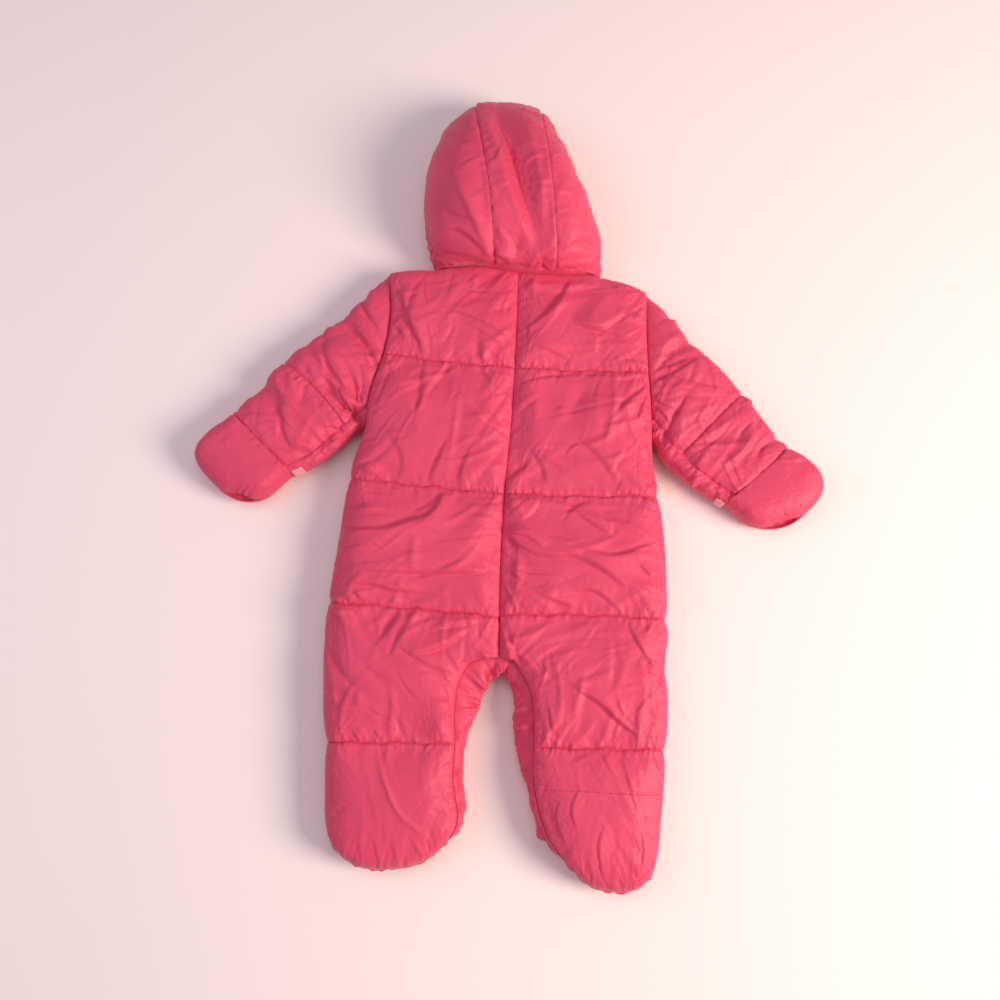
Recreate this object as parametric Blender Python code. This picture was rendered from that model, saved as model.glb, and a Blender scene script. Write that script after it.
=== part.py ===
"""Quilted baby snowsuit with a three-piece hood, fold-over mitts and closed feet, laid face down.

Every piece that a maker would cut and sew is one named object: a padded wall with the outer form of
the garment and a plain inside. Sizes are millimetres until a mesh is made, which is in metres.
-X is the wearer's left, +Y is towards the hood, +Z is up from the surface that the suit lies on.
"""

import math
from collections import namedtuple

import bmesh
import bpy
import numpy as np

MM = 0.001

# ---- driving sizes, mm ----
SEAM_GAP = 0.3          # clearance between two pieces that are sewn together
CURVE_GAP = 0.45        # the same where a seam curves between two points of a piece
LAYER = 19.0            # height at which the back pieces lie on the front ones
MIN_WALL = 1.6          # thinnest cloth, at a rolled seam
SIDE_ROLL = 26.0        # width over which the back rolls down to a side seam
FRONT_ROLL = 17.0       # the same on the front, which rests flat inside it
SEAM_ROLL = 17.0        # width of the puff's slope into a seam inside the outline
QUILT_DEPTH = 9.0       # how far a quilting line pulls the puffs down
QUILT_ROLL = 24.0       # width of the slope on each side of a quilting line
QUILT_NOTCH = 2.6       # how far a quilting line pulls the outline in
DROP_POWER = 2.4        # how two slopes that meet are blended
FRONT_EDGE = 12.0       # and at the front's edges inside the outline
FRONT_LOW = 2.0         # height of the front's edge under a sleeve and the neck
FRONT_SEAM = 17.4       # height of the front pieces' side seam
BACK_SEAM = 20.6        # height of the back pieces' side seam
CENTRE_SEAM = 35.0      # height of the centre-back seam
NECK_SEAM = 37.0        # height of the seam between the back and the hood
LEG_SEAM = 32.5         # height of the seam between the back and the crotch strip
FRONT_LEG_SEAM = 2.0    # height of the seam between the front and the crotch strip
ROW_STEP = 15.0         # usual distance between two rows of a body piece
EASE = 0.55             # 0 spaces rows evenly, 1 crowds them at the quilting lines

ZIP_TOP = 217.0         # the zip's upper stop, along Y
ZIP_BOTTOM = -95.0      # its lower stop
ZIP_VALLEY = 8.0        # half the width between the two front edges
ZIP_EDGE = 10.5         # height of the front edges beside the zip
ZIP_END = 12.0          # length over which the two front edges close below the zip
FRONT_CENTRE = 6.0      # height of the centre-front seam below the zip
TAPE_Z = (12.0, 13.0)   # the zip's tape, from its outer to its inner face
CHAIN_Z = (11.2, 13.9)  # the closed teeth
CHAIN_HALF = 2.4        # half the width of the teeth
SLIDER_HALF = 4.2       # half the slider's width
SLIDER_LENGTH = 10.0
PIVOT_Z = 7.2           # height of the pull tab's pivot
PULL_LENGTH = 21.0      # from its pivot to its tip
PULL_HALF = 3.4
PULL_THICK = 1.3
PULL_DROOP = 16.5       # degrees that the tab hangs down to the surface

HOOD_WALL = 12.0        # thickness of the hood's padding
HOOD_SEAM = 3.5         # how far the hood's two long seams are pulled in
HOOD_HOLLOW = (8.0, 335.0)      # plan of the middle of the hood's hollow
RING_ANGLE = 25.0       # how far the hood's edge rolls under, degrees
SLEEVE_MIDDLE = 18.0    # height of a sleeve's fold edge
SLEEVE_ROUND = 3.2      # how square a sleeve's section is, 2 being an ellipse
SLEEVE_SPAN = 60.0      # half a sleeve's usual width, for spacing points round it
ARMHOLE_REACH = 60.0    # length over which a sleeve straightens from the armhole's curve
SLEEVE_QUILT = 7.5      # how far a quilting line pulls a sleeve down
CAP_QUILT = 6.5         # the same for the line that runs into the armhole
CAP_SEAM = 6.0          # the same for the armhole seam
UNDERARM_DIP = 3.0      # the same for the underarm seam
EDGE_PULL = 0.35        # share of a line's depth by which it pulls a sleeve's edges in
HOLLOW_SHARE = (0.70, 0.76)     # how far the sleeve's flat inside reaches to its head and lower edge
SLIT = 0.3              # half the gap between the two layers of a sleeve
RING_POINTS = 29        # points once round a sleeve, the seam counted twice
MITT_CROWN = 36.0       # height of a mitt's back
MITT_WRIST = 28.0       # and where it meets the sleeve
MITT_ROUND = 2.6        # how square a mitt's outline is
TOE_ROUND = 3.0         # the same for a foot's end

CLOTH = "quilted_nylon"
COLOURS = {
    CLOTH: ((0.745, 0.075, 0.135, 1.0), 0.42, 0.0),
    "satin_binding": ((0.900, 0.350, 0.450, 1.0), 0.30, 0.0),
    "zip_tape": ((0.600, 0.050, 0.110, 1.0), 0.75, 0.0),
    "zip_plastic": ((0.620, 0.060, 0.120, 1.0), 0.35, 0.0),
    "zip_metal": ((0.620, 0.610, 0.600, 1.0), 0.30, 1.0),
}

# ---- shared seam lines: (distance along, position) in mm ----
CENTRE_BACK = ((-170, -1.0), (-60, 1.0), (10, 5.5), (80, 12.0), (150, 16.0), (235, 19.0))
ARMHOLE = {
    -1: ((60, -133.0), (106, -128.0), (144, -116.0), (185, -110.0), (229, -113.0)),
    1: ((50, 149.5), (90, 149.5), (125, 148.0), (170, 147.5), (209, 149.0)),
}
TOP_EDGE = ((-116, 232.0), (-92, 236.0), (-64, 236.0), (-20, 235.5), (20, 229.0), (61, 226.5),
            (99, 228.5), (123, 223.0), (151, 211.0))
NECK = (-66.0, 101.0)   # the hood is sewn on between these two points of the top edge

# ---- back and front pieces: a row for each section from the neck to the toes. The inner edge is the
# centre line down to the fork, then the inside of the leg, and strip_x, strip_y is how far the
# crotch strip stands out from it; the outer edge is the armhole, then the side ----
Section = namedtuple(
    "Section", "name inner_x inner_y outer_x outer_y sag crown outer_z quilted strip_x strip_y",
    defaults=(False, None, None))
LEFT_SECTIONS = (
    Section("neck", None, 229, None, 232, 0.0, 39, 28.0),
    Section("blade", None, 185, None, 187, 0.0, 41, 30.5),
    Section("yoke", None, 127, None, 142, -2.0, 41, 30.5, True),
    Section("chest", None, 96, None, 106, 0.0, 42, 30.5),
    Section("underarm", None, 60, None, 70, 0.0, 42, 29.0),
    Section("flank", None, 40, -142, 43, 0.0, 42, BACK_SEAM),
    Section("waist", None, -2, -149, 14, -1.0, 42, BACK_SEAM, True),
    Section("loin", None, -50, -157, -48, 0.0, 43, BACK_SEAM),
    Section("hip", None, -122, -165, -108, 1.0, 43, BACK_SEAM, True),
    Section("seat", None, -148, -167, -132, 0.0, 42, BACK_SEAM),
    Section("fork", -1.0, -159, -167, -145, 0.0, 42, BACK_SEAM, False, 0, -174),
    Section("crotch", -13, -160, -167.5, -153, 0.0, 42, BACK_SEAM, False, -4, -176),
    Section("groin", -26, -163, -167.5, -162, 0.0, 42, BACK_SEAM, False, -9, -182),
    Section("thigh", -37, -179, -167, -178, 0.0, 42, BACK_SEAM, False, -15, -192),
    Section("shank", -42, -206, -166, -206, 0.0, 42, BACK_SEAM, False, -22, -210),
    Section("knee", -42, -238, -163, -237, 0.0, 42, BACK_SEAM, True, -32, -238),
    Section("calf", -43.5, -272, -162, -272, 0.0, 42, BACK_SEAM, False, -34, -272),
    Section("ankle", -39, -304, -161, -303, 0.0, 41, BACK_SEAM, False, -31, -304),
    Section("toe", -43, -325, -158, -331, -22.0, 40, BACK_SEAM, False, -38, -327),
)
RIGHT_SECTIONS = (
    Section("neck", None, 229, None, 212, 0.0, 39, 28.0),
    Section("blade", None, 185, None, 178, 0.0, 41, 30.5),
    Section("yoke", None, 127, None, 122, -1.0, 41, 30.5, True),
    Section("chest", None, 92, None, 88, 0.0, 42, 30.5),
    Section("underarm", None, 60, None, 57, 0.0, 42, 29.0),
    Section("flank", None, 34, 151, 32, 0.0, 42, BACK_SEAM),
    Section("waist", None, -2, 156, -4, -2.0, 42, BACK_SEAM, True),
    Section("loin", None, -50, 160, -50, 0.0, 43, BACK_SEAM),
    Section("hip", None, -120, 160, -124, 2.0, 43, BACK_SEAM, True),
    Section("seat", None, -148, 160, -142, 0.0, 42, BACK_SEAM),
    Section("fork", -1.0, -159, 158, -152, 0.0, 42, BACK_SEAM, False, 0, -174),
    Section("crotch", 9, -160, 157, -159, 0.0, 42, BACK_SEAM, False, 4, -176),
    Section("groin", 19, -172, 156, -172, 0.0, 42, BACK_SEAM, False, 9, -184),
    Section("thigh", 28, -190, 158, -190, 0.0, 42, BACK_SEAM, False, 13, -198),
    Section("shank", 31, -214, 157.5, -214, 0.0, 42, BACK_SEAM, False, 12, -218),
    Section("knee", 31, -242, 154.5, -244, 0.0, 42, BACK_SEAM, True, 15, -245),
    Section("calf", 31, -272, 151.5, -278, 0.0, 42, BACK_SEAM, False, 24, -275),
    Section("ankle", 41, -314, 147, -317, 0.0, 41, BACK_SEAM, False, 35, -316),
    Section("toe", 57, -345, 144, -354, -20.0, 40, BACK_SEAM, False, 53.5, -347),
)

# ---- sleeves: a row for each section from the armhole to the wrist ----
SleeveSection = namedtuple("SleeveSection", "name head_x head_y under_x under_y crown quilted")
SLEEVES = {
    -1: (
        SleeveSection("armhole", None, 232, None, 69, 33, False),
        SleeveSection("cap", -137, 209, -134.5, 68, 38, False),
        SleeveSection("bicep", -160, 184, -137, 67, 39, False),
        SleeveSection("upper", -190, 161, -141, 65, 40, False),
        SleeveSection("elbow", -219, 137, -147, 60, 39, True),
        SleeveSection("lower", -239, 111, -163, 46, 38, False),
        SleeveSection("cuff", -255, 93, -184, 30, 37, False),
        SleeveSection("wrist", -267, 83, -204, 20, 33, True),
    ),
    1: (
        SleeveSection("armhole", None, 211, None, 57, 33, False),
        SleeveSection("cap", 168, 191, 151, 54, 38, False),
        SleeveSection("bicep", 189, 164, 154, 50, 39, False),
        SleeveSection("upper", 215, 137, 158, 39, 40, False),
        SleeveSection("elbow", 243, 105, 168, 28, 39, True),
        SleeveSection("lower", 258, 84, 184, 13, 38, False),
        SleeveSection("cuff", 271, 63, 202, 0, 37, False),
        SleeveSection("wrist", 286, 47, 219, -11, 33, True),
    ),
}
# quilting lines that run off into the armhole: (from x, from y, to x, to y)
CAP_QUILTING = {-1: (-160, 187, -118, 118), 1: (187, 162, 150, 106)}
UNDERARM_SEAM = {-1: 8.0, 1: 50.0}      # degrees round the sleeve, 0 at its lower edge, 90 on top
Mitt = namedtuple("Mitt", "length straight widen shift")
BINDING_TOP = 51.0      # how far the mitt's binding reaches over the sleeve's lower edge, degrees
BINDING_UNDER = -40.0   # and under it
MITTS = {-1: Mitt(62, 12, 2.5, -0.5), 1: Mitt(57, 12, 1.5, -3.5)}

# ---- hood: a row for each section from its front edge to the neck ----
HoodSection = namedtuple(
    "HoodSection", "name left_x left_y seam_l_x seam_l_y seam_r_x seam_r_y right_x right_y y crown")
HOOD = (
    HoodSection("edge", -39, 412, -27, 418, 45, 412, 54, 403, 423, 9),
    HoodSection("brim", -48, 406, -27, 418, 45, 412, 58, 395, 425, 24),
    HoodSection("peak", -57, 396, -26, 411, 44.5, 405, 63, 383, 420, 42),
    HoodSection("brow", -64, 382, -25, 394, 44.5, 391, 68, 370, 406, 60),
    HoodSection("top", -69, 360, -21.5, 370, 46, 366, 76, 353, 380, 76),
    HoodSection("crown", -75.5, 334, -17, 341, 49, 338, 86, 329, 347, 86),
    HoodSection("back", -78, 304, -11.5, 305, 52.5, 302, 95, 298, 307, 89),
    HoodSection("nape", -75, 272, -8, 271, 55, 268, 101, 266, 271, 82),
    HoodSection("swell", -71, 258, -6.5, 249, 57, 246, 103.5, 250, 248, 69),
    HoodSection("tuck", -68, 247, -5.5, 236, 57, 234, 103, 240, 235.5, 55),
    HoodSection("neck", -65, 236, -5, 235, 55, 226.5, 100.5, 228, 232, 42),
)

# ---- the largest folds, as troughs: (from x, from y, to x, to y, depth, half width) ----
Fold = namedtuple("Fold", "x0 y0 x1 y1 depth width")
BACK_FOLDS = (
    Fold(-152, -35, -106, -37, 5.0, 7),
    Fold(-106, -37, -69, -25, 5.0, 7),
    Fold(-69, -25, -55, 3, 3.5, 7),
    Fold(127, -6, 156, -21, 5.0, 7),
    Fold(7, -42, 64, -68, 4.0, 8),
    Fold(64, -68, 120, -94, 4.0, 8),
    Fold(95, -58, 150, -41, 4.0, 7),
    Fold(-145, -80, -20, -77, 3.5, 8),
    Fold(22, 113, 132, 113, 4.0, 8),
    Fold(-64, 188, 9, 158, 3.5, 8),
    Fold(28, 168, 70, 201, 3.0, 8),
    Fold(75, 165, 144, 149, 3.5, 8),
    Fold(-99, 210, -84, 134, 3.5, 8),
    Fold(148, 105, 114, 93, 3.5, 7),
    Fold(148, 83, 118, 62, 3.5, 7),
    Fold(0, -133, 24, -178, 4.0, 7),
    Fold(-119, -122, -63, -146, 4.0, 8),
    Fold(-93, -169, -34, -148, 4.0, 8),
    Fold(-114, -242, -91, -279, -2.5, 7),
    Fold(-91, -279, -68, -315, -2.5, 7),
)
SLEEVE_FOLDS = {
    -1: (
        Fold(-178, 96, -140, 72, 4.0, 8),
        Fold(-196, 82, -165, 52, 4.0, 7),
        Fold(-172, 150, -136, 96, 3.5, 7),
        Fold(-137, 203, -120, 150, 4.0, 7),
        Fold(-226, 66, -205, 42, 3.0, 7),
    ),
    1: (
        Fold(196, 92, 160, 62, 4.0, 8),
        Fold(216, 60, 196, 40, 3.5, 7),
        Fold(205, 118, 168, 92, 3.5, 7),
        Fold(273, 58, 274, 34, 4.0, 7),
        Fold(190, 140, 156, 84, 3.0, 7),
    ),
}
HOOD_FOLDS = (
    Fold(8, 385, 16, 335, 7.0, 8),
    Fold(16, 335, 32, 262, 7.0, 9),
    Fold(-40, 322, -16, 272, -3.5, 9),
    Fold(-60, 262, -22, 252, 3.5, 7),
)


# ---- curves and blends ----
def through(table, at):
    """Smooth values at the places 'at' of a curve through a table of (place, value...) rows."""
    table = np.asarray(table, float)
    keys = table[:, 0]
    values = table[:, 1:]
    slopes = np.gradient(values, keys, axis=0)
    at = np.clip(np.asarray(at, float), keys[0], keys[-1])
    i = np.clip(np.searchsorted(keys, at, side="right") - 1, 0, len(keys) - 2)
    width = (keys[i + 1] - keys[i])[..., None]
    t = ((at - keys[i])[..., None]) / width
    curve = ((2 * t**3 - 3 * t**2 + 1) * values[i] + (t**3 - 2 * t**2 + t) * width * slopes[i]
             + (3 * t**2 - 2 * t**3) * values[i + 1] + (t**3 - t**2) * width * slopes[i + 1])
    return curve[..., 0] if values.shape[1] == 1 else curve


def round_roll(distance, width):
    """1 at a seam and 0 from 'width' on, as the quarter circle of a padded edge that rolls over."""
    t = np.clip(distance / width, 0, 1)
    return 1 - np.sqrt(1 - (1 - t) ** 2)


def soft_roll(distance, width):
    """1 at a seam and 0 from 'width' on, as the slope of a puff into a line of stitches."""
    return (1 - np.clip(distance / width, 0, 1)) ** 2


def blended(*drops):
    """The depth where several slopes meet, a little more than the deepest of them."""
    return sum(np.maximum(drop, 0) ** DROP_POWER for drop in drops) ** (1 / DROP_POWER)


def fold_depth(folds, x, y):
    """How far the largest folds lower the cloth at (x, y)."""
    depth = np.zeros_like(x)
    for fold in folds:
        along = np.array([fold.x1 - fold.x0, fold.y1 - fold.y0], float)
        t = np.clip(((x - fold.x0) * along[0] + (y - fold.y0) * along[1]) / (along @ along), 0, 1)
        distance = np.hypot(x - fold.x0 - t * along[0], y - fold.y0 - t * along[1])
        depth += fold.depth * np.exp(-((distance / fold.width) ** 2))
    return depth


def round_end(u):
    """The outline of a mitt's end across its width: 0 at both corners, 1 in the middle."""
    return (1 - np.abs(2 * u - 1) ** MITT_ROUND) ** (1 / MITT_ROUND)


def toe_end(u):
    """The same for a foot, whose corners are softer."""
    return 1 - np.abs(2 * u - 1) ** TOE_ROUND


def crowded(stops, step, ease=EASE):
    """Places from the first stop to the last, about 'step' apart and closer together at each stop."""
    places = [stops[0]]
    for start, end in zip(stops, stops[1:]):
        count = max(2, round((end - start) / step))
        t = np.arange(1, count + 1) / count
        places.extend(start + (end - start) * (t - ease * np.sin(2 * math.pi * t) / (2 * math.pi)))
    return np.array(places)


# ---- meshes ----
def material(piece, finish):
    """A piece's own Principled material, in one of the finishes."""
    made = bpy.data.materials.new(f"{piece}_{finish}")
    made.use_nodes = True
    shader = made.node_tree.nodes["Principled BSDF"]
    colour, roughness, metallic = COLOURS[finish]
    shader.inputs["Base Color"].default_value = colour
    shader.inputs["Roughness"].default_value = roughness
    shader.inputs["Metallic"].default_value = metallic
    return made


def finish_object(name, bm, finish, smooth=True):
    """Turns a bmesh in metres into an object with closed, outward faces and its own material."""
    bmesh.ops.recalc_face_normals(bm, faces=bm.faces[:])
    mesh = bpy.data.meshes.new(name)
    bm.to_mesh(mesh)
    bm.free()
    mesh.materials.append(material(name, finish))
    if smooth:
        mesh.shade_smooth()
        mesh.set_sharp_from_angle(angle=math.radians(50))
    piece = bpy.data.objects.new(name, mesh)
    bpy.context.scene.collection.objects.link(piece)
    return piece


def padded_wall(name, outer, inner, finish=CLOTH):
    """One closed solid from two grids of points in mm: the outer face, the plain inner face and the
    rim round them. Faces that lie in one plane are merged."""
    rows, cols = outer.shape[:2]
    bm = bmesh.new()
    layers = []
    for grid in (outer, inner):
        layers.append([[bm.verts.new(grid[r, c] * MM) for c in range(cols)] for r in range(rows)])
    for layer, turn in zip(layers, (1, -1)):
        for r in range(rows - 1):
            for c in range(cols - 1):
                corners = (layer[r][c], layer[r][c + 1], layer[r + 1][c + 1], layer[r + 1][c])
                bm.faces.new(corners[::turn])
    edge = [(0, c) for c in range(cols - 1)] + [(r, cols - 1) for r in range(rows - 1)]
    edge += [(rows - 1, c) for c in range(cols - 1, 0, -1)] + [(r, 0) for r in range(rows - 1, 0, -1)]
    for (r0, c0), (r1, c1) in zip(edge, edge[1:] + edge[:1]):
        bm.faces.new((layers[0][r1][c1], layers[0][r0][c0], layers[1][r0][c0], layers[1][r1][c1]))
    bmesh.ops.dissolve_limit(
        bm, angle_limit=math.radians(0.05), verts=bm.verts[:], edges=bm.edges[:])
    bmesh.ops.triangulate(bm, faces=bm.faces[:], quad_method="BEAUTY", ngon_method="BEAUTY")
    return finish_object(name, bm, finish)


def points(x, y, z):
    """Three arrays as one grid of points."""
    return np.stack(np.broadcast_arrays(x, y, z), axis=-1).astype(float)


# ---- body: back and front pieces ----
def centre_back(y):
    return through(CENTRE_BACK, y)


def top_edge(x):
    return through(TOP_EDGE, x)


class BodyHalf:
    """The plan of one half of the suit, from the neck to the toes, that its back and front share."""

    def __init__(self, side, sections, columns):
        self.side = side
        armhole = ARMHOLE[side]
        inner = [(s.inner_x if s.inner_x is not None else float(centre_back(s.inner_y)), s.inner_y)
                 for s in sections]
        outer = [(s.outer_x if s.outer_x is not None else float(through(armhole, s.outer_y)),
                  s.outer_y) for s in sections]
        inner = np.array(inner, float)
        outer = np.array(outer, float)
        steps = (np.linalg.norm(np.diff(inner, axis=0), axis=1)
                 + np.linalg.norm(np.diff(outer, axis=0), axis=1)) / 2
        key = np.concatenate([[0], np.cumsum(steps)])
        names = [s.name for s in sections]
        fork = names.index("fork")
        self.fork_key = key[fork]
        stops = [key[0]] + [k for k, s in zip(key, sections) if s.quilted] + [key[-1]]
        rows = crowded(stops, ROW_STEP)
        for section in ("underarm", "fork"):
            near = int(np.argmin(np.abs(rows - key[names.index(section)])))
            rows[near] = key[names.index(section)]
        self.rows = rows
        self.fork_row = near
        self.u = columns
        on_torso = rows <= self.fork_key
        in_y = np.where(on_torso, through(np.column_stack([key, inner[:, 1]])[:fork + 1], rows),
                        through(np.column_stack([key, inner[:, 1]])[fork:], rows))
        leg_x = through(np.column_stack([key, inner[:, 0]])[fork:], rows)
        in_x = np.where(on_torso, centre_back(in_y), leg_x)
        out_y = through(np.column_stack([key, outer[:, 1]]), rows)
        out_x = through(np.column_stack([key, outer[:, 0]]), rows)
        at_armhole = out_y >= sections[names.index("underarm")].outer_y
        out_x = np.where(at_armhole, through(armhole, out_y), out_x)
        self.at_armhole = at_armhole
        in_x = in_x + side * SEAM_GAP / 2
        u = columns[None, :]
        x = in_x[:, None] + (out_x - in_x)[:, None] * u
        straight = in_y[:, None] + (out_y - in_y)[:, None] * u
        sag = through(np.column_stack([key, [s.sag for s in sections[:-1]] + [0]]), rows)
        y = straight + sag[:, None] * 4 * u * (1 - u)
        top_share = np.clip(1 - rows / key[1], 0, 1)[:, None]
        y = y + top_share * (top_edge(x[:1]) - y[:1])
        toe_share = np.clip((rows - key[-2]) / (key[-1] - key[-2]), 0, 1)[:, None] ** 1.5
        y = y + toe_share * sections[-1].sag * toe_end(u)
        quilt_keys = [k for k, s in zip(key, sections) if s.quilted]
        self.to_quilt = np.min([np.abs(rows - k) for k in quilt_keys], axis=0)[:, None]
        notch = QUILT_NOTCH * np.exp(-((self.to_quilt / 7) ** 2)) * (~at_armhole[:, None])
        x = x - side * notch * np.clip((u - 0.8) / 0.2, 0, 1)
        self.x = x
        self.y = y
        self.crown = through(np.column_stack([key, [s.crown for s in sections]]), rows)[:, None]
        self.outer_z = np.interp(rows, key, [s.outer_z for s in sections])[:, None]
        self.from_inner = np.abs(x - x[:, :1])
        self.from_outer = np.abs(x - x[:, -1:])
        self.from_top = np.abs(y[:1] - y)
        self.from_toe = np.abs(y - y[-1:])
        self.on_leg = (rows > self.fork_key)[:, None]
        strip = [(k, s.strip_x, s.strip_y) for k, s in zip(key, sections) if s.strip_x is not None]
        self.strip = through(strip, rows[self.fork_row:])

    def neck_share(self):
        """1 where the top edge is sewn to the hood, 0 along the shoulder seam."""
        reach = np.minimum(self.x[:1] - NECK[0], NECK[1] - self.x[:1])
        return np.clip(reach / 10 + 0.5, 0, 1)

    def back_top(self):
        """Height of the back's outer face."""
        crown = self.crown
        inner_z = np.where(self.on_leg, LEG_SEAM, CENTRE_SEAM)
        top_z = BACK_SEAM + (NECK_SEAM - BACK_SEAM) * self.neck_share()
        drop = blended(
            (crown - self.outer_z) * round_roll(self.from_outer, SIDE_ROLL),
            (crown - inner_z) * soft_roll(self.from_inner, SEAM_ROLL),
            (crown - top_z) * round_roll(self.from_top, SEAM_ROLL),
            (crown - BACK_SEAM) * round_roll(self.from_toe, SIDE_ROLL),
            QUILT_DEPTH * soft_roll(self.to_quilt, QUILT_ROLL))
        folds = fold_depth(BACK_FOLDS, self.x, self.y)
        folds = folds * np.clip(np.minimum(self.from_inner, self.from_outer) / 8, 0, 1)
        return np.maximum(crown - drop - folds, LAYER + MIN_WALL)

    def front_bottom(self):
        """Height of the front's outer face, which lies flat on the surface."""
        side_z = np.where(self.at_armhole[:, None], FRONT_LOW, FRONT_SEAM)
        inner_z = np.where(self.on_leg, FRONT_LEG_SEAM,
                           np.where(self.y[:, :1] > ZIP_BOTTOM, ZIP_EDGE, FRONT_CENTRE))
        top_z = FRONT_SEAM + (FRONT_LOW - FRONT_SEAM) * self.neck_share()
        rise = blended(
            side_z * round_roll(self.from_outer, FRONT_ROLL),
            inner_z * round_roll(self.from_inner, FRONT_EDGE),
            top_z * round_roll(self.from_top, FRONT_EDGE),
            FRONT_SEAM * round_roll(self.from_toe, FRONT_ROLL))
        return np.minimum(rise, LAYER - MIN_WALL)


def back_columns():
    """Columns from the inner edge to the side, closer together at both."""
    t = np.linspace(0, 1, 13)
    return t - 0.75 * np.sin(2 * math.pi * t) / (2 * math.pi)


def front_columns():
    t = np.linspace(0, 1, 10)
    return t - 0.92 * np.sin(2 * math.pi * t) / (2 * math.pi)


def make_back(name, half):
    outer = points(half.x, half.y, half.back_top())
    inner = points(half.x, half.y, LAYER + SEAM_GAP / 2)
    return padded_wall(name, outer, inner)


def make_front(name, half):
    """A front half stands back from the centre line beside the zip, and meets the other below it."""
    y = half.y
    valley = np.clip((y[:, :1] - ZIP_BOTTOM) / ZIP_END + 3, 0, 1)
    shift = half.side * ZIP_VALLEY * valley * (1 - half.u[None, :])
    x = half.x + shift
    outer = points(x, y, half.front_bottom())
    inner = points(x, y, LAYER - SEAM_GAP / 2)
    return padded_wall(name, outer, inner)


def make_gusset(left, right):
    """The strip from ankle to ankle through the crotch, on the edges of both back halves."""
    edges = [np.column_stack([half.x[:, 0], half.y[:, 0]])[half.fork_row:] for half in (left, right)]
    middle = (edges[0][:1] + edges[1][:1]) / 2
    path = np.vstack([edges[0][:0:-1], middle, edges[1][1:]])
    reach = np.vstack([left.strip[:0:-1], left.strip[:1], right.strip[1:]])
    tangent = np.gradient(path, axis=0)
    tangent /= np.linalg.norm(tangent, axis=1)[:, None]
    outward = np.column_stack([tangent[:, 1], -tangent[:, 0]])
    seam = path + outward * SEAM_GAP
    heights = np.linspace(FRONT_LEG_SEAM, LEG_SEAM - 1.0, 8)
    from_middle = (heights - heights.mean()) / (heights[-1] - heights.mean())
    swell = 0.14 + 0.86 * (1 - np.abs(from_middle) ** 2.4) ** (1 / 2.4)
    outer = seam[:, None] + (reach - seam)[:, None] * swell[None, :, None]
    padded_wall("crotch_gusset", points(outer[..., 0], outer[..., 1], heights[None, :]),
                points(seam[:, None, 0], seam[:, None, 1], heights[None, :]))


# ---- sleeves ----
def superellipse(angle):
    """A sleeve's section, from -1 to 1 across and up, at angles from its lower edge over the top."""
    power = 2 / SLEEVE_ROUND
    return (np.sign(np.cos(angle)) * np.abs(np.cos(angle)) ** power,
            np.sign(np.sin(angle)) * np.abs(np.sin(angle)) ** power)


def ring_angles(seam):
    """Angles once round a sleeve from its seam, spaced between evenly by length and by turn."""
    dense = np.linspace(seam, seam - 2 * math.pi, 721)
    lateral, vertical = superellipse(dense)
    steps = np.hypot(np.diff(lateral) * SLEEVE_SPAN, np.diff(vertical) * SLEEVE_MIDDLE)
    length = np.concatenate([[0], np.cumsum(steps)])
    place = 0.7 * length / length[-1] + 0.3 * np.linspace(0, 1, len(dense))
    return np.interp(np.linspace(0, 1, RING_POINTS), place, dense)


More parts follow.
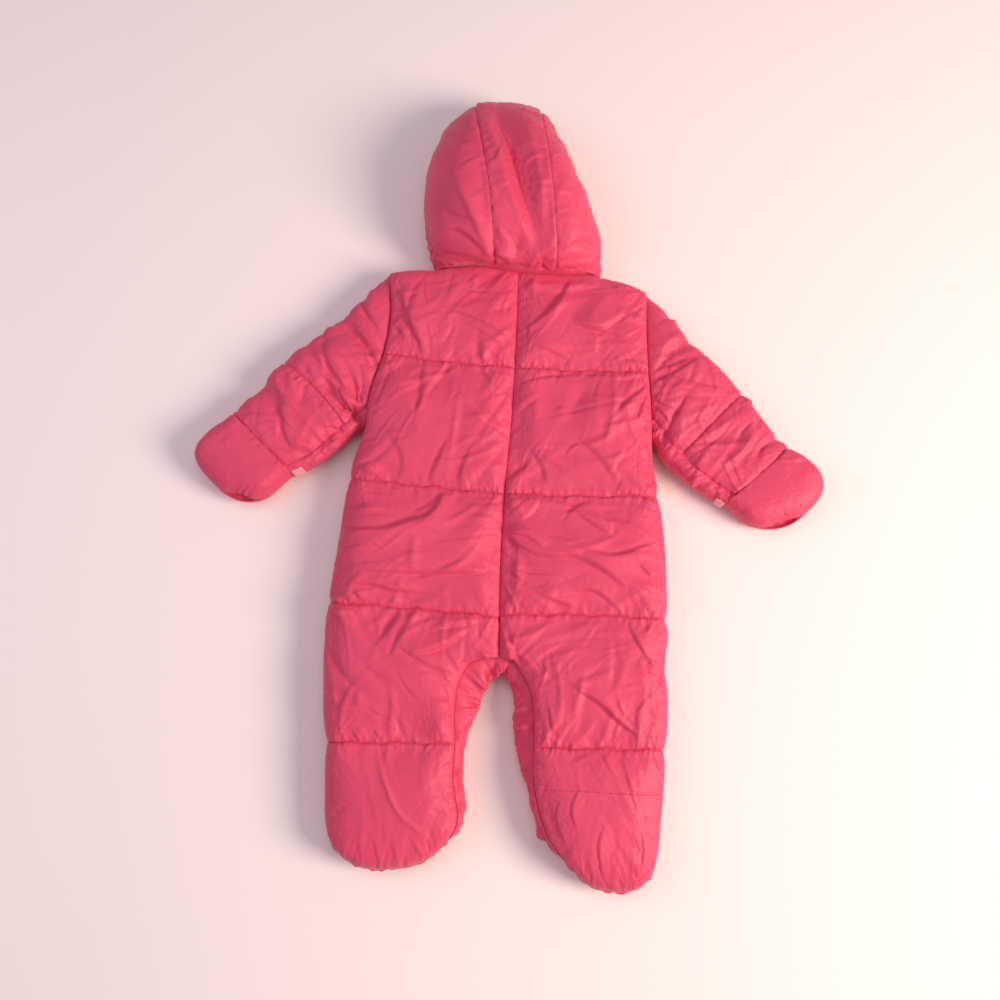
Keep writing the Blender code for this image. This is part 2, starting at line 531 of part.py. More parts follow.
def sleeve_grid(side):
    """Outer and inner points of a sleeve, in rings from the armhole to the wrist. A ring starts at
    the underarm seam, runs round the lower edge, the underside, the head edge and the top."""
    sections = SLEEVES[side]
    armhole = ARMHOLE[side]
    head = [(s.head_x if s.head_x is not None else float(through(armhole, s.head_y)), s.head_y)
            for s in sections]
    under = [(s.under_x if s.under_x is not None else float(through(armhole, s.under_y)), s.under_y)
             for s in sections]
    head = np.array(head, float)
    under = np.array(under, float)
    steps = (np.linalg.norm(np.diff(head, axis=0), axis=1)
             + np.linalg.norm(np.diff(under, axis=0), axis=1)) / 2
    key = np.concatenate([[0], np.cumsum(steps)])
    stops = [0] + [k for k, s in zip(key, sections) if s.quilted]
    rows = crowded(stops, 12.0)
    head = through(np.column_stack([key, head]), rows)
    under = through(np.column_stack([key, under]), rows)
    crown = through(np.column_stack([key, [s.crown for s in sections]]), rows)[:, None]

    angle = ring_angles(math.radians(UNDERARM_SEAM[side]))
    lateral, vertical = superellipse(angle)
    turn = np.linspace(0, 1, len(angle))
    width = np.linalg.norm(under - head, axis=1)[:, None]
    gap = np.zeros_like(turn)
    gap[0] = SEAM_GAP / 2
    gap[-1] = -SEAM_GAP / 2
    if UNDERARM_SEAM[side] < 45:
        rise = -gap
        gap = gap * 0
    else:
        rise = gap * 0

    share = (0.5 + 0.5 * lateral)[None, :]
    chord = head[:, None] + (under - head)[:, None] * share[..., None]
    at_armhole = np.clip(1 - rows / ARMHOLE_REACH, 0, 1)[:, None] ** 2
    bend = through(armhole, chord[0, :, 1])[None, :] - chord[:1, :, 0]
    x = chord[..., 0] + at_armhole * bend + side * CURVE_GAP * (rows[:, None] == 0)
    y = chord[..., 1]

    to_quilt = np.min([np.abs(rows - k) for k in stops[1:]], axis=0)[:, None]
    line = CAP_QUILTING[side]
    cap = fold_depth((Fold(*line, 1.0, 9.0),), x, y)
    drop = blended(CAP_SEAM * soft_roll(rows, SEAM_ROLL)[:, None] + 0 * x,
                   SLEEVE_QUILT * soft_roll(to_quilt, 20.0) + 0 * x, CAP_QUILT * cap)
    drop = drop + fold_depth(SLEEVE_FOLDS[side], x, y)
    seam_drop = UNDERARM_DIP * np.exp(-(((turn * (1 - turn)) * width / 2.7) ** 2))
    drop = (drop + seam_drop) * np.clip(1 + 1.5 * np.sin(angle), 0, 1)[None, :]
    # the drop pulls the lower and head edges in, and the top down
    across = (under - head) / width
    inward = drop * np.cos(angle)[None, :] * EDGE_PULL
    x_out = x - inward * across[:, None, 0] * (rows[:, None] > 0)
    y_out = y - inward * across[:, None, 1] * (rows[:, None] > 0)
    top = crown - SLEEVE_MIDDLE
    z_out = SLEEVE_MIDDLE + np.where(vertical > 0, top, SLEEVE_MIDDLE + 0.6) * vertical
    z_out = z_out - drop * np.clip(vertical, 0, 1)
    z_out = np.maximum(z_out, 0)
    x_out = x_out + gap * across[:, None, 0]
    y_out = y_out + gap * across[:, None, 1]
    z_out = z_out + rise

    limit = np.where(lateral > 0, HOLLOW_SHARE[1], HOLLOW_SHARE[0])
    squeezed = limit + (np.abs(lateral) - limit) * 0.15
    lateral_in = np.where(np.abs(lateral) > limit, np.sign(lateral) * squeezed, lateral)
    share_in = (0.5 + 0.5 * lateral_in)[None, :]
    x_in = head[:, None, 0] + (under - head)[:, None, 0] * share_in
    y_in = head[:, None, 1] + (under - head)[:, None, 1] * share_in
    at_bend = through(armhole, y_in[0])[None, :] - x_in[:1]
    x_in = x_in + at_armhole * at_bend + side * CURVE_GAP * (rows[:, None] == 0)
    x_in = x_in + gap * across[:, None, 0]
    y_in = y_in + gap * across[:, None, 1]
    z_in = LAYER + SLIT * np.clip(2.5 * np.sin(angle), -1, 1)[None, :] + rise * 0.5 + 0 * x_in
    return points(x_out, y_out, z_out), points(x_in, y_in, z_in), angle


def make_sleeve(name, grid):
    outer, inner, _ = grid
    return padded_wall(name, outer, inner)


def make_binding(name, side, grid):
    """The satin edge of the mitt's opening, folded round the lower edge of the sleeve at the wrist."""
    outer, _, angle = grid
    turned = np.degrees((angle + math.pi) % (2 * math.pi) - math.pi)
    chosen = np.where((turned[:-1] < BINDING_TOP) & (turned[:-1] > BINDING_UNDER))[0]
    chosen = chosen[np.argsort(-turned[chosen])]
    rings = outer[-3:]
    along = np.repeat(rings[2:] - rings[:1], 3, axis=0)[:, chosen]
    around = np.gradient(rings[:, chosen], axis=1)
    normal = np.cross(around, along)
    normal /= np.linalg.norm(normal, axis=-1, keepdims=True)
    middle = rings.mean(axis=(0, 1))
    normal *= np.sign(np.sum(normal * (rings[:, chosen] - middle), axis=-1)).mean()
    strip = rings[:2, chosen]
    padded_wall(name, strip + normal[:2] * 2.0, strip + normal[:2] * 0.5, "satin_binding")


# ---- mitts ----
def mitt_plan(side, rows, columns):
    """Plan of a mitt: straight beside the wrist, then a rounded end."""
    wrist = SLEEVES[side][-1]
    head = np.array([wrist.head_x, wrist.head_y], float)
    under = np.array([wrist.under_x, wrist.under_y], float)
    mitt = MITTS[side]
    width = np.linalg.norm(under - head)
    across = (under - head) / width
    ahead = np.array([across[1], -across[0]]) * -side
    ahead = ahead * np.sign(ahead[0] * side)
    v = rows[:, None]
    u = columns[None, :]
    reach = v * (mitt.straight + (mitt.length - mitt.straight) * round_end(u))
    spread = width / 2 + mitt.widen * np.clip(reach / 25, 0, 1)
    middle = mitt.shift * np.clip(reach / 25, 0, 1)
    sideways = (2 * u - 1) * spread + middle
    start = (head + under) / 2
    clear = SEAM_GAP + 0 * reach
    x = start[0] + across[0] * sideways + ahead[0] * (reach + clear)
    y = start[1] + across[1] * sideways + ahead[1] * (reach + clear)
    return x, y, u * (1 - u) * 2 * width, reach, (1 - v) * mitt.length * (0.25 + 0.75 * round_end(u))


def make_mitts(side, label):
    t = np.linspace(0, 1, 12)
    columns = t - 0.9 * np.sin(2 * math.pi * t) / (2 * math.pi)
    rows = 1 - np.linspace(1, 0, 8) ** 1.6
    x, y, from_side, from_wrist, from_tip = mitt_plan(side, rows, columns)
    drop = blended((MITT_CROWN - BACK_SEAM) * round_roll(from_side, 22.0),
                   (MITT_CROWN - BACK_SEAM) * round_roll(from_tip, 24.0),
                   (MITT_CROWN - MITT_WRIST) * soft_roll(from_wrist, 18.0))
    top = np.maximum(MITT_CROWN - drop, LAYER + MIN_WALL)
    padded_wall(f"mitt_back_{label}", points(x, y, top), points(x, y, LAYER + SEAM_GAP / 2))
    rise = blended(FRONT_SEAM * round_roll(from_side, 14.0), FRONT_SEAM * round_roll(from_tip, 16.0),
                   1.0 * soft_roll(from_wrist, 6.0))
    bottom = np.minimum(rise, LAYER - MIN_WALL)
    padded_wall(f"mitt_palm_{label}", points(x, y, bottom), points(x, y, LAYER - SEAM_GAP / 2))


# ---- hood ----
def hood_surface():
    """Base points of the whole hood, rows from its front edge to the neck, columns from the left
    edge over the crown to the right edge; and the columns of the two seams."""
    key = np.arange(len(HOOD), dtype=float)
    rows = np.concatenate([[0], np.arange(1, 8, 0.75), [8, 9, 10]])
    table = np.array([s[1:] for s in HOOD], float)
    at = through(np.column_stack([key, table]), rows)
    left, seam_l, seam_r, right = at[:, 0:2], at[:, 2:4], at[:, 4:6], at[:, 6:8]
    mid_y, crown = at[:, 8], at[:, 9]
    seam_z = crown - np.interp(rows, [0, 1, 3, 9, 10], [0, 1, 5, 4, 1])
    widest = np.minimum(0.32 * seam_z, 25.0)
    arc = np.radians(np.linspace(-RING_ANGLE, 90, 10))
    strip = np.linspace(0, 1, 7)

    def side_arch(edge, seam):
        reach = (1 - np.cos(arc))[None, :, None]
        plan = edge[:, None] + (seam - edge)[:, None] * reach
        low = widest[:, None] * (1 + np.sin(arc) / math.sin(math.radians(RING_ANGLE)))[None, :]
        high = widest[:, None] + (seam_z - widest)[:, None] * np.sin(arc)[None, :]
        z = np.where(arc[None, :] < 0, low, high)
        return np.concatenate([plan, z[..., None]], axis=-1)

    left_side = side_arch(left, seam_l)
    right_side = side_arch(right, seam_r)[:, ::-1]
    bow = 4 * strip * (1 - strip)
    x = seam_l[:, :1] + (seam_r - seam_l)[:, :1] * strip[None, :]
    line_y = seam_l[:, 1:] + (seam_r - seam_l)[:, 1:] * strip[None, :]
    bow_y = mid_y - (seam_l[:, 1] + seam_r[:, 1]) / 2
    y = line_y + bow_y[:, None] * bow[None, :]
    z = seam_z[:, None] + (crown - seam_z)[:, None] * bow[None, :]
    middle = points(x, y, z)
    base = np.concatenate([left_side, middle[:, 1:-1], right_side], axis=1)
    last = base[-1]
    last[:, 1] = top_edge(last[:, 0]) + CURVE_GAP
    return base, len(arc) - 1, len(arc) + len(strip) - 2


def grid_normals(grid):
    """Unit normals of a grid, pointing up and out of the hood."""
    normal = np.cross(np.gradient(grid, axis=1), np.gradient(grid, axis=0))
    normal /= np.linalg.norm(normal, axis=-1, keepdims=True)
    return normal * np.sign(normal[len(grid) // 2, grid.shape[1] // 2, 2])


def make_hood():
    base, seam_l, seam_r = hood_surface()
    normal = grid_normals(base)
    inner = base - normal * HOOD_WALL
    # near the front edge the wall is upright, so it thickens straight towards the hollow
    towards = np.array([*HOOD_HOLLOW, 0.0]) - base[:2] * [1, 1, 0]
    upright = base[:2] + towards / np.linalg.norm(towards, axis=-1, keepdims=True) * HOOD_WALL
    inner[0] = upright[0]
    inner[1] = (inner[1] + upright[1]) / 2
    inner[:, 0, 2] = 0
    inner[:, -1, 2] = 0
    inner[-1, :, 1] = top_edge(inner[-1, :, 0]) + CURVE_GAP
    inner[-1, :, 2] = base[-1, :, 2] * (1 - HOOD_WALL / base[-1, :, 2].max())
    # over the neck the outside swells, and the inside runs straight
    inner[-3] = inner[-4] + 0.4 * (inner[-1] - inner[-4])
    inner[-2] = inner[-4] + 0.75 * (inner[-1] - inner[-4])
    inner[..., 2] = np.maximum(inner[..., 2], 0)

    spread = np.linalg.norm(np.diff(base, axis=1), axis=-1)
    across = np.concatenate([np.zeros((len(base), 1)), np.cumsum(spread, axis=1)], axis=1)
    to_seam = np.minimum(np.abs(across - across[:, seam_l:seam_l + 1]),
                         np.abs(across - across[:, seam_r:seam_r + 1]))
    away = np.clip(np.arange(len(base)) / 3, 0, 1)[:, None]
    drop = HOOD_SEAM * soft_roll(to_seam, 14.0) + fold_depth(HOOD_FOLDS, base[..., 0], base[..., 1])
    drop = drop * away * np.clip(base[..., 2] / 30, 0, 1)
    drop[-1] = 0
    outer = base - normal * drop[..., None]
    outer[..., 2] = np.maximum(outer[..., 2], 0)

    side_step = np.zeros_like(base[:, 0])
    side_step[:, 0] = SEAM_GAP / 2

    def cut(first, last, lean):
        """Columns first to last of the hood, drawn back from the seams they end at."""
        parts = []
        for grid in (outer, inner):
            part = grid[:, first:last + 1].copy()
            if lean[0]:
                part[:, 0] += side_step
            if lean[1]:
                part[:, -1] -= side_step
            parts.append(part)
        return parts

    padded_wall("hood_left", *cut(0, seam_l, (False, True)))
    padded_wall("hood_right", *cut(seam_r, base.shape[1] - 1, (True, False)))
    outer_strip, inner_strip = cut(seam_l, seam_r, (True, True))
    # the middle piece alone reaches the surface at the hood's front edge
    foot_out = outer_strip[:1] * [1, 1, 0]
    foot_out[..., 1] -= 1.5
    foot_in = inner_strip[:1] * [1, 1, 0]
    outer_strip = np.concatenate([foot_out, outer_strip])
    inner_strip = np.concatenate([foot_in, inner_strip])
    padded_wall("hood_centre", outer_strip, inner_strip)


# ---- zip ----
def block(bm, low, high, centre=(0, 0)):
    """Adds a box between two corners in mm, moved in plan by 'centre'."""
    low = np.array(low, float)
    high = np.array(high, float)
    made = bmesh.ops.create_cube(bm, size=1)
    for vert in made["verts"]:
        at = (low + high) / 2 + np.array(vert.co) * (high - low)
        vert.co = (at + [centre[0], centre[1], 0]) * MM


def zip_strip(name, low, high, z, finish, length=None):
    """A strip that follows the centre line, from 'low' to 'high' across and through heights 'z'."""
    bottom, top = length or (ZIP_BOTTOM, ZIP_TOP)
    y = np.linspace(bottom, top, 15)[:, None]
    x = through(CENTRE_BACK, y[:, 0])[:, None] + np.array([[low, high]])
    padded_wall(name, points(x, y, z[0]), points(x, y, z[1]), finish)


def boxes(name, parts, finish):
    """One body from several boxes that overlap, by Boolean unions."""
    made = []
    for number, (low, high) in enumerate(parts):
        bm = bmesh.new()
        block(bm, low, high)
        made.append(finish_object(name if number == 0 else f"{name}_tool{number}", bm, finish, False))
    for tool in made[1:]:
        join = made[0].modifiers.new(tool.name, "BOOLEAN")
        join.operation = "UNION"
        join.object = tool
        tool.hide_render = True
        tool.display_type = "WIRE"
    return made[0]


def make_zip():
    slider_y = ZIP_TOP - 18.0
    inner = CHAIN_HALF + SEAM_GAP
    outer = ZIP_VALLEY - SEAM_GAP
    zip_strip("zip_tape_left", -outer, -inner, TAPE_Z, "zip_tape")
    zip_strip("zip_tape_right", inner, outer, TAPE_Z, "zip_tape")
    zip_strip("zip_chain", -CHAIN_HALF, CHAIN_HALF, CHAIN_Z, "zip_plastic",
              (ZIP_BOTTOM, slider_y + SLIDER_LENGTH / 2 - 2.0))

    face = CHAIN_Z[0] - SEAM_GAP
    back = CHAIN_Z[1] + SEAM_GAP
    half = SLIDER_HALF
    y0 = -SLIDER_LENGTH / 2
    y1 = SLIDER_LENGTH / 2
    x0 = float(centre_back(slider_y))
    slider = boxes("zip_slider", (
        ((-half, y0, face - 1.3), (half, y1, face)),
        ((-half, y0, back), (half, y1, back + 1.2)),
        ((-1.0, y1 - 1.6, face - 0.4), (1.0, y1 - 0.1, back + 0.4)),
        ((-1.0, -3.9, PIVOT_Z - 2.2), (1.0, -2.9, face - 0.9)),
        ((-1.0, 2.9, PIVOT_Z - 2.2), (1.0, 3.9, face - 0.9)),
        ((-0.9, -3.4, PIVOT_Z - 2.1), (0.9, 3.4, PIVOT_Z - 1.2)),
    ), "zip_metal")
    slider.location = (x0 * MM, slider_y * MM, 0)
    for modifier in slider.modifiers:
        modifier.object.location = slider.location
    thick = PULL_THICK / 2
    pull = boxes("zip_pull", (
        ((-PULL_HALF, -0.6, -0.6), (PULL_HALF, 0.6, 0.6)),
        ((-PULL_HALF, -8.0, -thick), (-1.4, 0.5, thick)),
        ((1.4, -8.0, -thick), (PULL_HALF, 0.5, thick)),
        ((-PULL_HALF, -PULL_LENGTH, -thick), (PULL_HALF, -5.4, thick)),
    ), "zip_metal")
    pull.location = (x0 * MM, slider_y * MM, PIVOT_Z * MM)
    pull.rotation_euler = (math.radians(PULL_DROOP), 0, 0)
    for modifier in pull.modifiers:
        modifier.object.location = pull.location
        modifier.object.rotation_euler = pull.rotation_euler


def centre_garment():
    """Moves everything so that the suit's box stands centred over the origin."""
    bpy.context.view_layer.update()
    meshes = [o for o in bpy.data.objects if o.type == "MESH" and not o.hide_render]
    corners = np.array([o.matrix_world @ v.co for o in meshes for v in o.data.vertices])
    middle = (corners.min(axis=0) + corners.max(axis=0)) / 2
    garment = bpy.data.objects.new("garment", None)
    bpy.context.scene.collection.objects.link(garment)
    for item in list(bpy.data.objects):
        if item.type == "MESH":
            item.parent = garment
    garment.location = (-middle[0], -middle[1], 0)


def main():
    for item in list(bpy.data.objects):
        bpy.data.objects.remove(item, do_unlink=True)
    left = BodyHalf(-1, LEFT_SECTIONS, back_columns())
    right = BodyHalf(1, RIGHT_SECTIONS, back_columns())
    make_back("back_left", left)
    make_back("back_right", right)
    make_front("front_left", BodyHalf(-1, LEFT_SECTIONS, front_columns()))
    make_front("front_right", BodyHalf(1, RIGHT_SECTIONS, front_columns()))
    make_gusset(left, right)
    for side, label in ((-1, "left"), (1, "right")):
        grid = sleeve_grid(side)
        make_sleeve(f"sleeve_{label}", grid)
        make_binding(f"mitt_binding_{label}", side, grid)
        make_mitts(side, label)
    make_hood()
    make_zip()
    centre_garment()


main()
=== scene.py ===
"""The looks of a quilted baby snowsuit with a three-piece hood, laid face down.

Each padded piece is a grid of points worked out from the suit's own sizes, in millimetres: first
the form that its padding gives it; then, for the backs, sleeves, mitt backs and hood, a short cloth
simulation that lets the nylon buckle between its seams; then the creases, folds and fine puckers.
-X is the wearer's left, +Y is towards the hood, +Z is up from the surface that the suit lies on.
A side is -1 for the wearer's left and 1 for the right.
"""

import math
from collections import namedtuple
from functools import cache

import bpy
import numpy as np
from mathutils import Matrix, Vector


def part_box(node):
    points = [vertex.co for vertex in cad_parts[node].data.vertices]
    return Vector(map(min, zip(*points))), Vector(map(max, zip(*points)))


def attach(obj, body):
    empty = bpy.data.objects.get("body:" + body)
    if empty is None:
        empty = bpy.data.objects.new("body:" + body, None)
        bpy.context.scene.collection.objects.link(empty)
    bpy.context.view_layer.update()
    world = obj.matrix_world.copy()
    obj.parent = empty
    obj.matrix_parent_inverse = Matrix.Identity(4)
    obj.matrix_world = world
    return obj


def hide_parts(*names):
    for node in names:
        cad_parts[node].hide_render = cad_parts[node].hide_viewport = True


bl_info = {
    "name": "Baby snowsuit",
    "version": (1, 0, 0),
    "blender": (4, 5, 0),
    "location": "3D View > Sidebar > Snowsuit",
    "description": "Builds a quilted baby snowsuit round its packed solids",
    "category": "Object",
}

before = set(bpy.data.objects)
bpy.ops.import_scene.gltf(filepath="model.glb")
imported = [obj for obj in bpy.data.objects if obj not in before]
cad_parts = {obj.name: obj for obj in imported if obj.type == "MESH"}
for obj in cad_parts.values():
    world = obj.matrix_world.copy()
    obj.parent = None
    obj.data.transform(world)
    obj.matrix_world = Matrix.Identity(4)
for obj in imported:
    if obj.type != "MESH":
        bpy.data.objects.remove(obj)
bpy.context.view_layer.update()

MM = 0.001
BODY = "garment"

# ---- driving sizes, mm: those that the solids have too are the same there ----
SEAM_GAP = 0.3
CURVE_GAP = 0.45
LAYER = 19              # height at which the back pieces lie on the front ones
MIN_WALL = 1.6
SIDE_ROLL = 26
FRONT_ROLL = 17
SEAM_ROLL = 17
QUILT_DEPTH = 5.5
QUILT_ROLL = 21
QUILT_NOTCH = 2.6
QUILT_WOBBLE = ((0.8, 7.3, 60), (0.45, 3.1, 23))  # how far, and over what length each way
DROP_POWER = 2.4
FRONT_EDGE = 12
LEG_START = -150        # y below which the inner edge is a leg's
FOOT_START = -265       # y from which the folds get lower towards the toes
FRONT_LOW = 2
FRONT_SEAM = 17.4
BACK_SEAM = 20.6
CENTRE_SEAM = 35
NECK_SEAM = 37
LEG_SEAM = 32.5
FRONT_LEG_SEAM = 2
ZIP_TOP = 217
ZIP_BOTTOM = -95
ZIP_VALLEY = 8
ZIP_EDGE = 10.5
ZIP_END = 12
FRONT_CENTRE = 6
CHAIN_Z = (11.2, 13.9)
CHAIN_HALF = 2.4
SLIDER_LENGTH = 10
SLIDER_Y = ZIP_TOP - 18
HOOD_WALL = 12
HOOD_SEAM = 1.4
HOOD_HOLLOW = (8, 335)
HOOD_MIDDLE = (8, 320, 0)
# by the number of the section: how far the hood's seams lie below its middle, how high its
# widest part is at least, and where its inner side starts to lean to the neck
HOOD_SEAM_DROP = ((0, 1, 3, 9, 10), (0, 0.3, 1.4, 1.6, 0.6))
HOOD_NAPE = ((8.6, 10), (0, 21))
HOOD_TURN = 7.75
HOOD_PIECES = ("hood_left", "hood_centre", "hood_right")
RING_ANGLE = 25
SLEEVE_MIDDLE = 18
SLEEVE_ROUND = 3.2
SLEEVE_GIRTH = 260      # length round a sleeve, for spacing its folds
ARMHOLE_REACH = 60
SLEEVE_QUILT = {-1: 3.8, 1: 5}
ELBOW_BOW = {-1: 4.5, 1: 0}  # how far the elbow line curves towards the armhole
SLEEVE_ROLL = 20
CAP_QUILT = 6
CAP_ROLL = 18
CAP_SEAM = 4.5
UNDERARM_DIP = 3
EDGE_PULL = 0.6
WRIST_GAP = 0.1
WRIST_QUILT = 2.4       # depth of the valley along the wrist seam
WRIST_PULL = 2          # how far that draws the edges in
MITT_CROWN = 36
MITT_WRIST = 34.6
MITT_SIDE_ROLL = 22
MITT_TIP_ROLL = 24
MITT_WRIST_ROLL = 18
PALM_SIDE_ROLL = 14
PALM_TIP_ROLL = 16
PALM_WRIST_ROLL = 6
MITT_GATHER = {-1: (0.79, 0.13), 1: (0.69, 0.15)}  # shares of a mitt's width: place, half width
MITT_DRAWN = 7          # how far the mitt's end is drawn in there
MITT_HOLLOW = 8         # how deep the palm is hollowed there
TOE_ROUND = 2.6
TOE_CORNER = 5.5
TOE_LIP = 1.6           # how far the front stands out from under the back at the toes
BINDING_ABOVE = {-1: 25, 1: 20}  # degrees round the sleeve, above its lower edge
BINDING_BELOW = -38
BINDING_ROWS = slice(-9, -1)  # of the sleeve's rows
TAPE_Z = (12, 13)
TOOTH_PITCH = 2
STRIP_TAPER = 34        # length over which the crotch strip runs out at each ankle
STRIP_ROUND = 1.7       # power of its round section
STRIP_LOW = 4           # how far its upper edge is sewn below the face of the back
STITCH_PITCH = 3.4
STITCH_RADIUS = 0.36
STITCH_LENGTH = 2.5

# ---- fineness of the surfaces, mm between two points before they are doubled ----
FINE = 2.6
FRONT_FINE = 4

# ---- shared seam lines: (distance along, position) in mm ----
CENTRE_BACK = ((-170, -1), (-60, 1), (10, 5.5), (80, 12), (150, 16), (235, 19))
ARMHOLE = {
    -1: ((60, -133), (106, -128), (144, -116), (185, -110), (229, -113)),
    1: ((50, 149.5), (90, 149.5), (125, 148), (170, 147.5), (209, 149)),
}
TOP_EDGE = ((-116, 232), (-92, 236), (-64, 236), (-20, 235.5), (20, 229), (61, 226.5),
            (99, 228.5), (123, 223), (151, 211))
NECK = (-66, 101)   # x of the neck seam's two ends


def table(kind, *rows):
    """A table with the named columns of its kind."""
    return tuple(kind(*row) for row in rows)


Section = namedtuple(
    "Section", "name inner_x inner_y outer_x outer_y sag crown outer_z quilted strip_x strip_y",
    defaults=(False, None, None))
LEFT_SECTIONS = table(
    Section,
    ("neck", None, 229, None, 232, 0, 39, 29.5),
    ("blade", None, 185, None, 187, 0, 41, 33),
    ("yoke", None, 127, None, 142, -2, 41, 33, True),
    ("chest", None, 96, None, 106, 0, 42, 33),
    ("underarm", None, 60, None, 70, 0, 42, 31),
    ("flank", None, 40, -142, 43, 0, 42, BACK_SEAM),
    ("waist", None, -2, -149, 14, -1, 42, BACK_SEAM, True),
    ("loin", None, -50, -157, -48, 0, 43, BACK_SEAM),
    ("hip", None, -122, -165, -108, 1, 43, BACK_SEAM, True),
    ("seat", None, -148, -167, -132, 0, 42, BACK_SEAM),
    ("fork", -1, -159, -167, -145, 0, 42, BACK_SEAM, False, 0, -174),
    ("crotch", -13, -160, -167.5, -153, 0, 42, BACK_SEAM, False, -4, -176),
    ("groin", -26, -163, -167.5, -162, 0, 42, BACK_SEAM, False, -9, -182),
    ("thigh", -37, -179, -167, -178, 0, 42, BACK_SEAM, False, -15, -192),
    ("shank", -42, -206, -166, -206, 0, 42, BACK_SEAM, False, -22, -210),
    ("knee", -42, -238, -163, -237, 0, 42, BACK_SEAM, True, -32, -238),
    ("calf", -43.5, -272, -162, -272, 0, 42, BACK_SEAM, False, -34, -272),
    ("ankle", -39, -304, -161, -303, 0, 41, BACK_SEAM, False, -31, -304),
    ("toe", -43, -325, -158, -331, -22, 40, BACK_SEAM, False, -38, -327),
)
RIGHT_SECTIONS = table(
    Section,
    ("neck", None, 229, None, 212, 0, 39, 29.5),
    ("blade", None, 185, None, 178, 0, 41, 33),
    ("yoke", None, 127, None, 122, -1, 41, 33, True),
    ("chest", None, 92, None, 88, 0, 42, 33),
    ("underarm", None, 60, None, 57, 0, 42, 31),
    ("flank", None, 34, 151, 32, 0, 42, BACK_SEAM),
    ("waist", None, -2, 156, -4, -2, 42, BACK_SEAM, True),
    ("loin", None, -50, 160, -50, 0, 43, BACK_SEAM),
    ("hip", None, -120, 160, -124, 2, 43, BACK_SEAM, True),
    ("seat", None, -148, 160, -142, 0, 42, BACK_SEAM),
    ("fork", -1, -159, 158, -152, 0, 42, BACK_SEAM, False, 0, -174),
    ("crotch", 9, -160, 157, -159, 0, 42, BACK_SEAM, False, 4, -176),
    ("groin", 19, -172, 156, -172, 0, 42, BACK_SEAM, False, 9, -184),
    ("thigh", 28, -190, 158, -190, 0, 42, BACK_SEAM, False, 13, -198),
    ("shank", 31, -214, 157.5, -214, 0, 42, BACK_SEAM, False, 12, -218),
    ("knee", 31, -242, 154.5, -244, 0, 42, BACK_SEAM, True, 15, -245),
    ("calf", 31, -272, 151.5, -278, 0, 42, BACK_SEAM, False, 24, -275),
    ("ankle", 41, -314, 147, -317, 0, 41, BACK_SEAM, False, 35, -316),
    ("toe", 57, -345, 144, -354, -20, 40, BACK_SEAM, False, 53.5, -347),
)

SleeveSection = namedtuple(
    "SleeveSection", "name head_x head_y under_x under_y crown quilted", defaults=(False,))
SLEEVES = {
    -1: table(
        SleeveSection,
        ("armhole", None, 232, None, 69, 37.5),
        ("cap", -137, 209, -134.5, 68, 38),
        ("bicep", -160, 184, -137, 67, 39),
        ("upper", -190, 161, -141, 65, 40),
        ("elbow", -219, 137, -147, 60, 39, True),
        ("lower", -239, 111, -163, 46, 38),
        ("cuff", -255, 93, -184, 30, 37),
        ("wrist", -267, 83, -204, 20, 37, True),
    ),
    1: table(
        SleeveSection,
        ("armhole", None, 211, None, 57, 37.5),
        ("cap", 168, 191, 151, 54, 38),
        ("bicep", 189, 164, 154, 50, 39),
        ("upper", 215, 137, 158, 39, 40),
        ("elbow", 243, 105, 168, 28, 39, True),
        ("lower", 258, 84, 184, 13, 38),
        ("cuff", 271, 63, 202, 0, 37),
        ("wrist", 286, 47, 219, -11, 37, True),
    ),
}
CAP_QUILTING = {-1: ((-166, 190), (-142, 160), (-127, 139), (-117, 120)),
                1: ((194, 166), (188, 157), (172, 143), (159, 129), (152, 120))}
UNDERARM_SEAM = {-1: 46, 1: 50}      # degrees round the sleeve, 0 at its lower edge, 90 on top
Mitt = namedtuple("Mitt", "length straight widen shift head_round under_round")
MITTS = {-1: Mitt(61, 24, 0, -2.5, 3.6, 2.2), 1: Mitt(58, 14, 2, -6.5, 3.2, 2)}

HoodSection = namedtuple(
    "HoodSection", "name left_x left_y seam_l_x seam_l_y seam_r_x seam_r_y right_x right_y y crown")
HOOD = table(
    HoodSection,
    ("edge", -42, 412, -27, 419.5, 44, 411.5, 53, 402, 419.5, 9),
    ("brim", -49.5, 409.5, -27, 420, 44, 412.5, 59, 395, 420.5, 24),
    ("peak", -53, 402, -26, 415, 43.5, 407.5, 61.5, 386, 416, 42),
    ("brow", -61, 384, -25, 399.5, 43.5, 393, 66, 372, 402, 60),
    ("top", -71, 360.5, -21.5, 372, 46, 367, 71, 354, 379, 76),
    ("crown", -77, 334, -17, 341, 49, 338, 80, 330, 346, 86),
    ("back", -78, 304, -11.5, 305, 52.5, 302, 93, 298, 307, 89),
    ("nape", -76, 271, -8, 270, 55, 267, 101.5, 264, 270, 82),
    ("swell", -72, 255, -6.5, 246.5, 57, 243.5, 104, 247, 246, 70),
    ("tuck", -69, 244, -5.5, 233.5, 57, 230.5, 104, 237, 233, 56),
    ("neck", -65, 236, -5, 235, 55, 226.5, 100.5, 228, 232, 43),
)

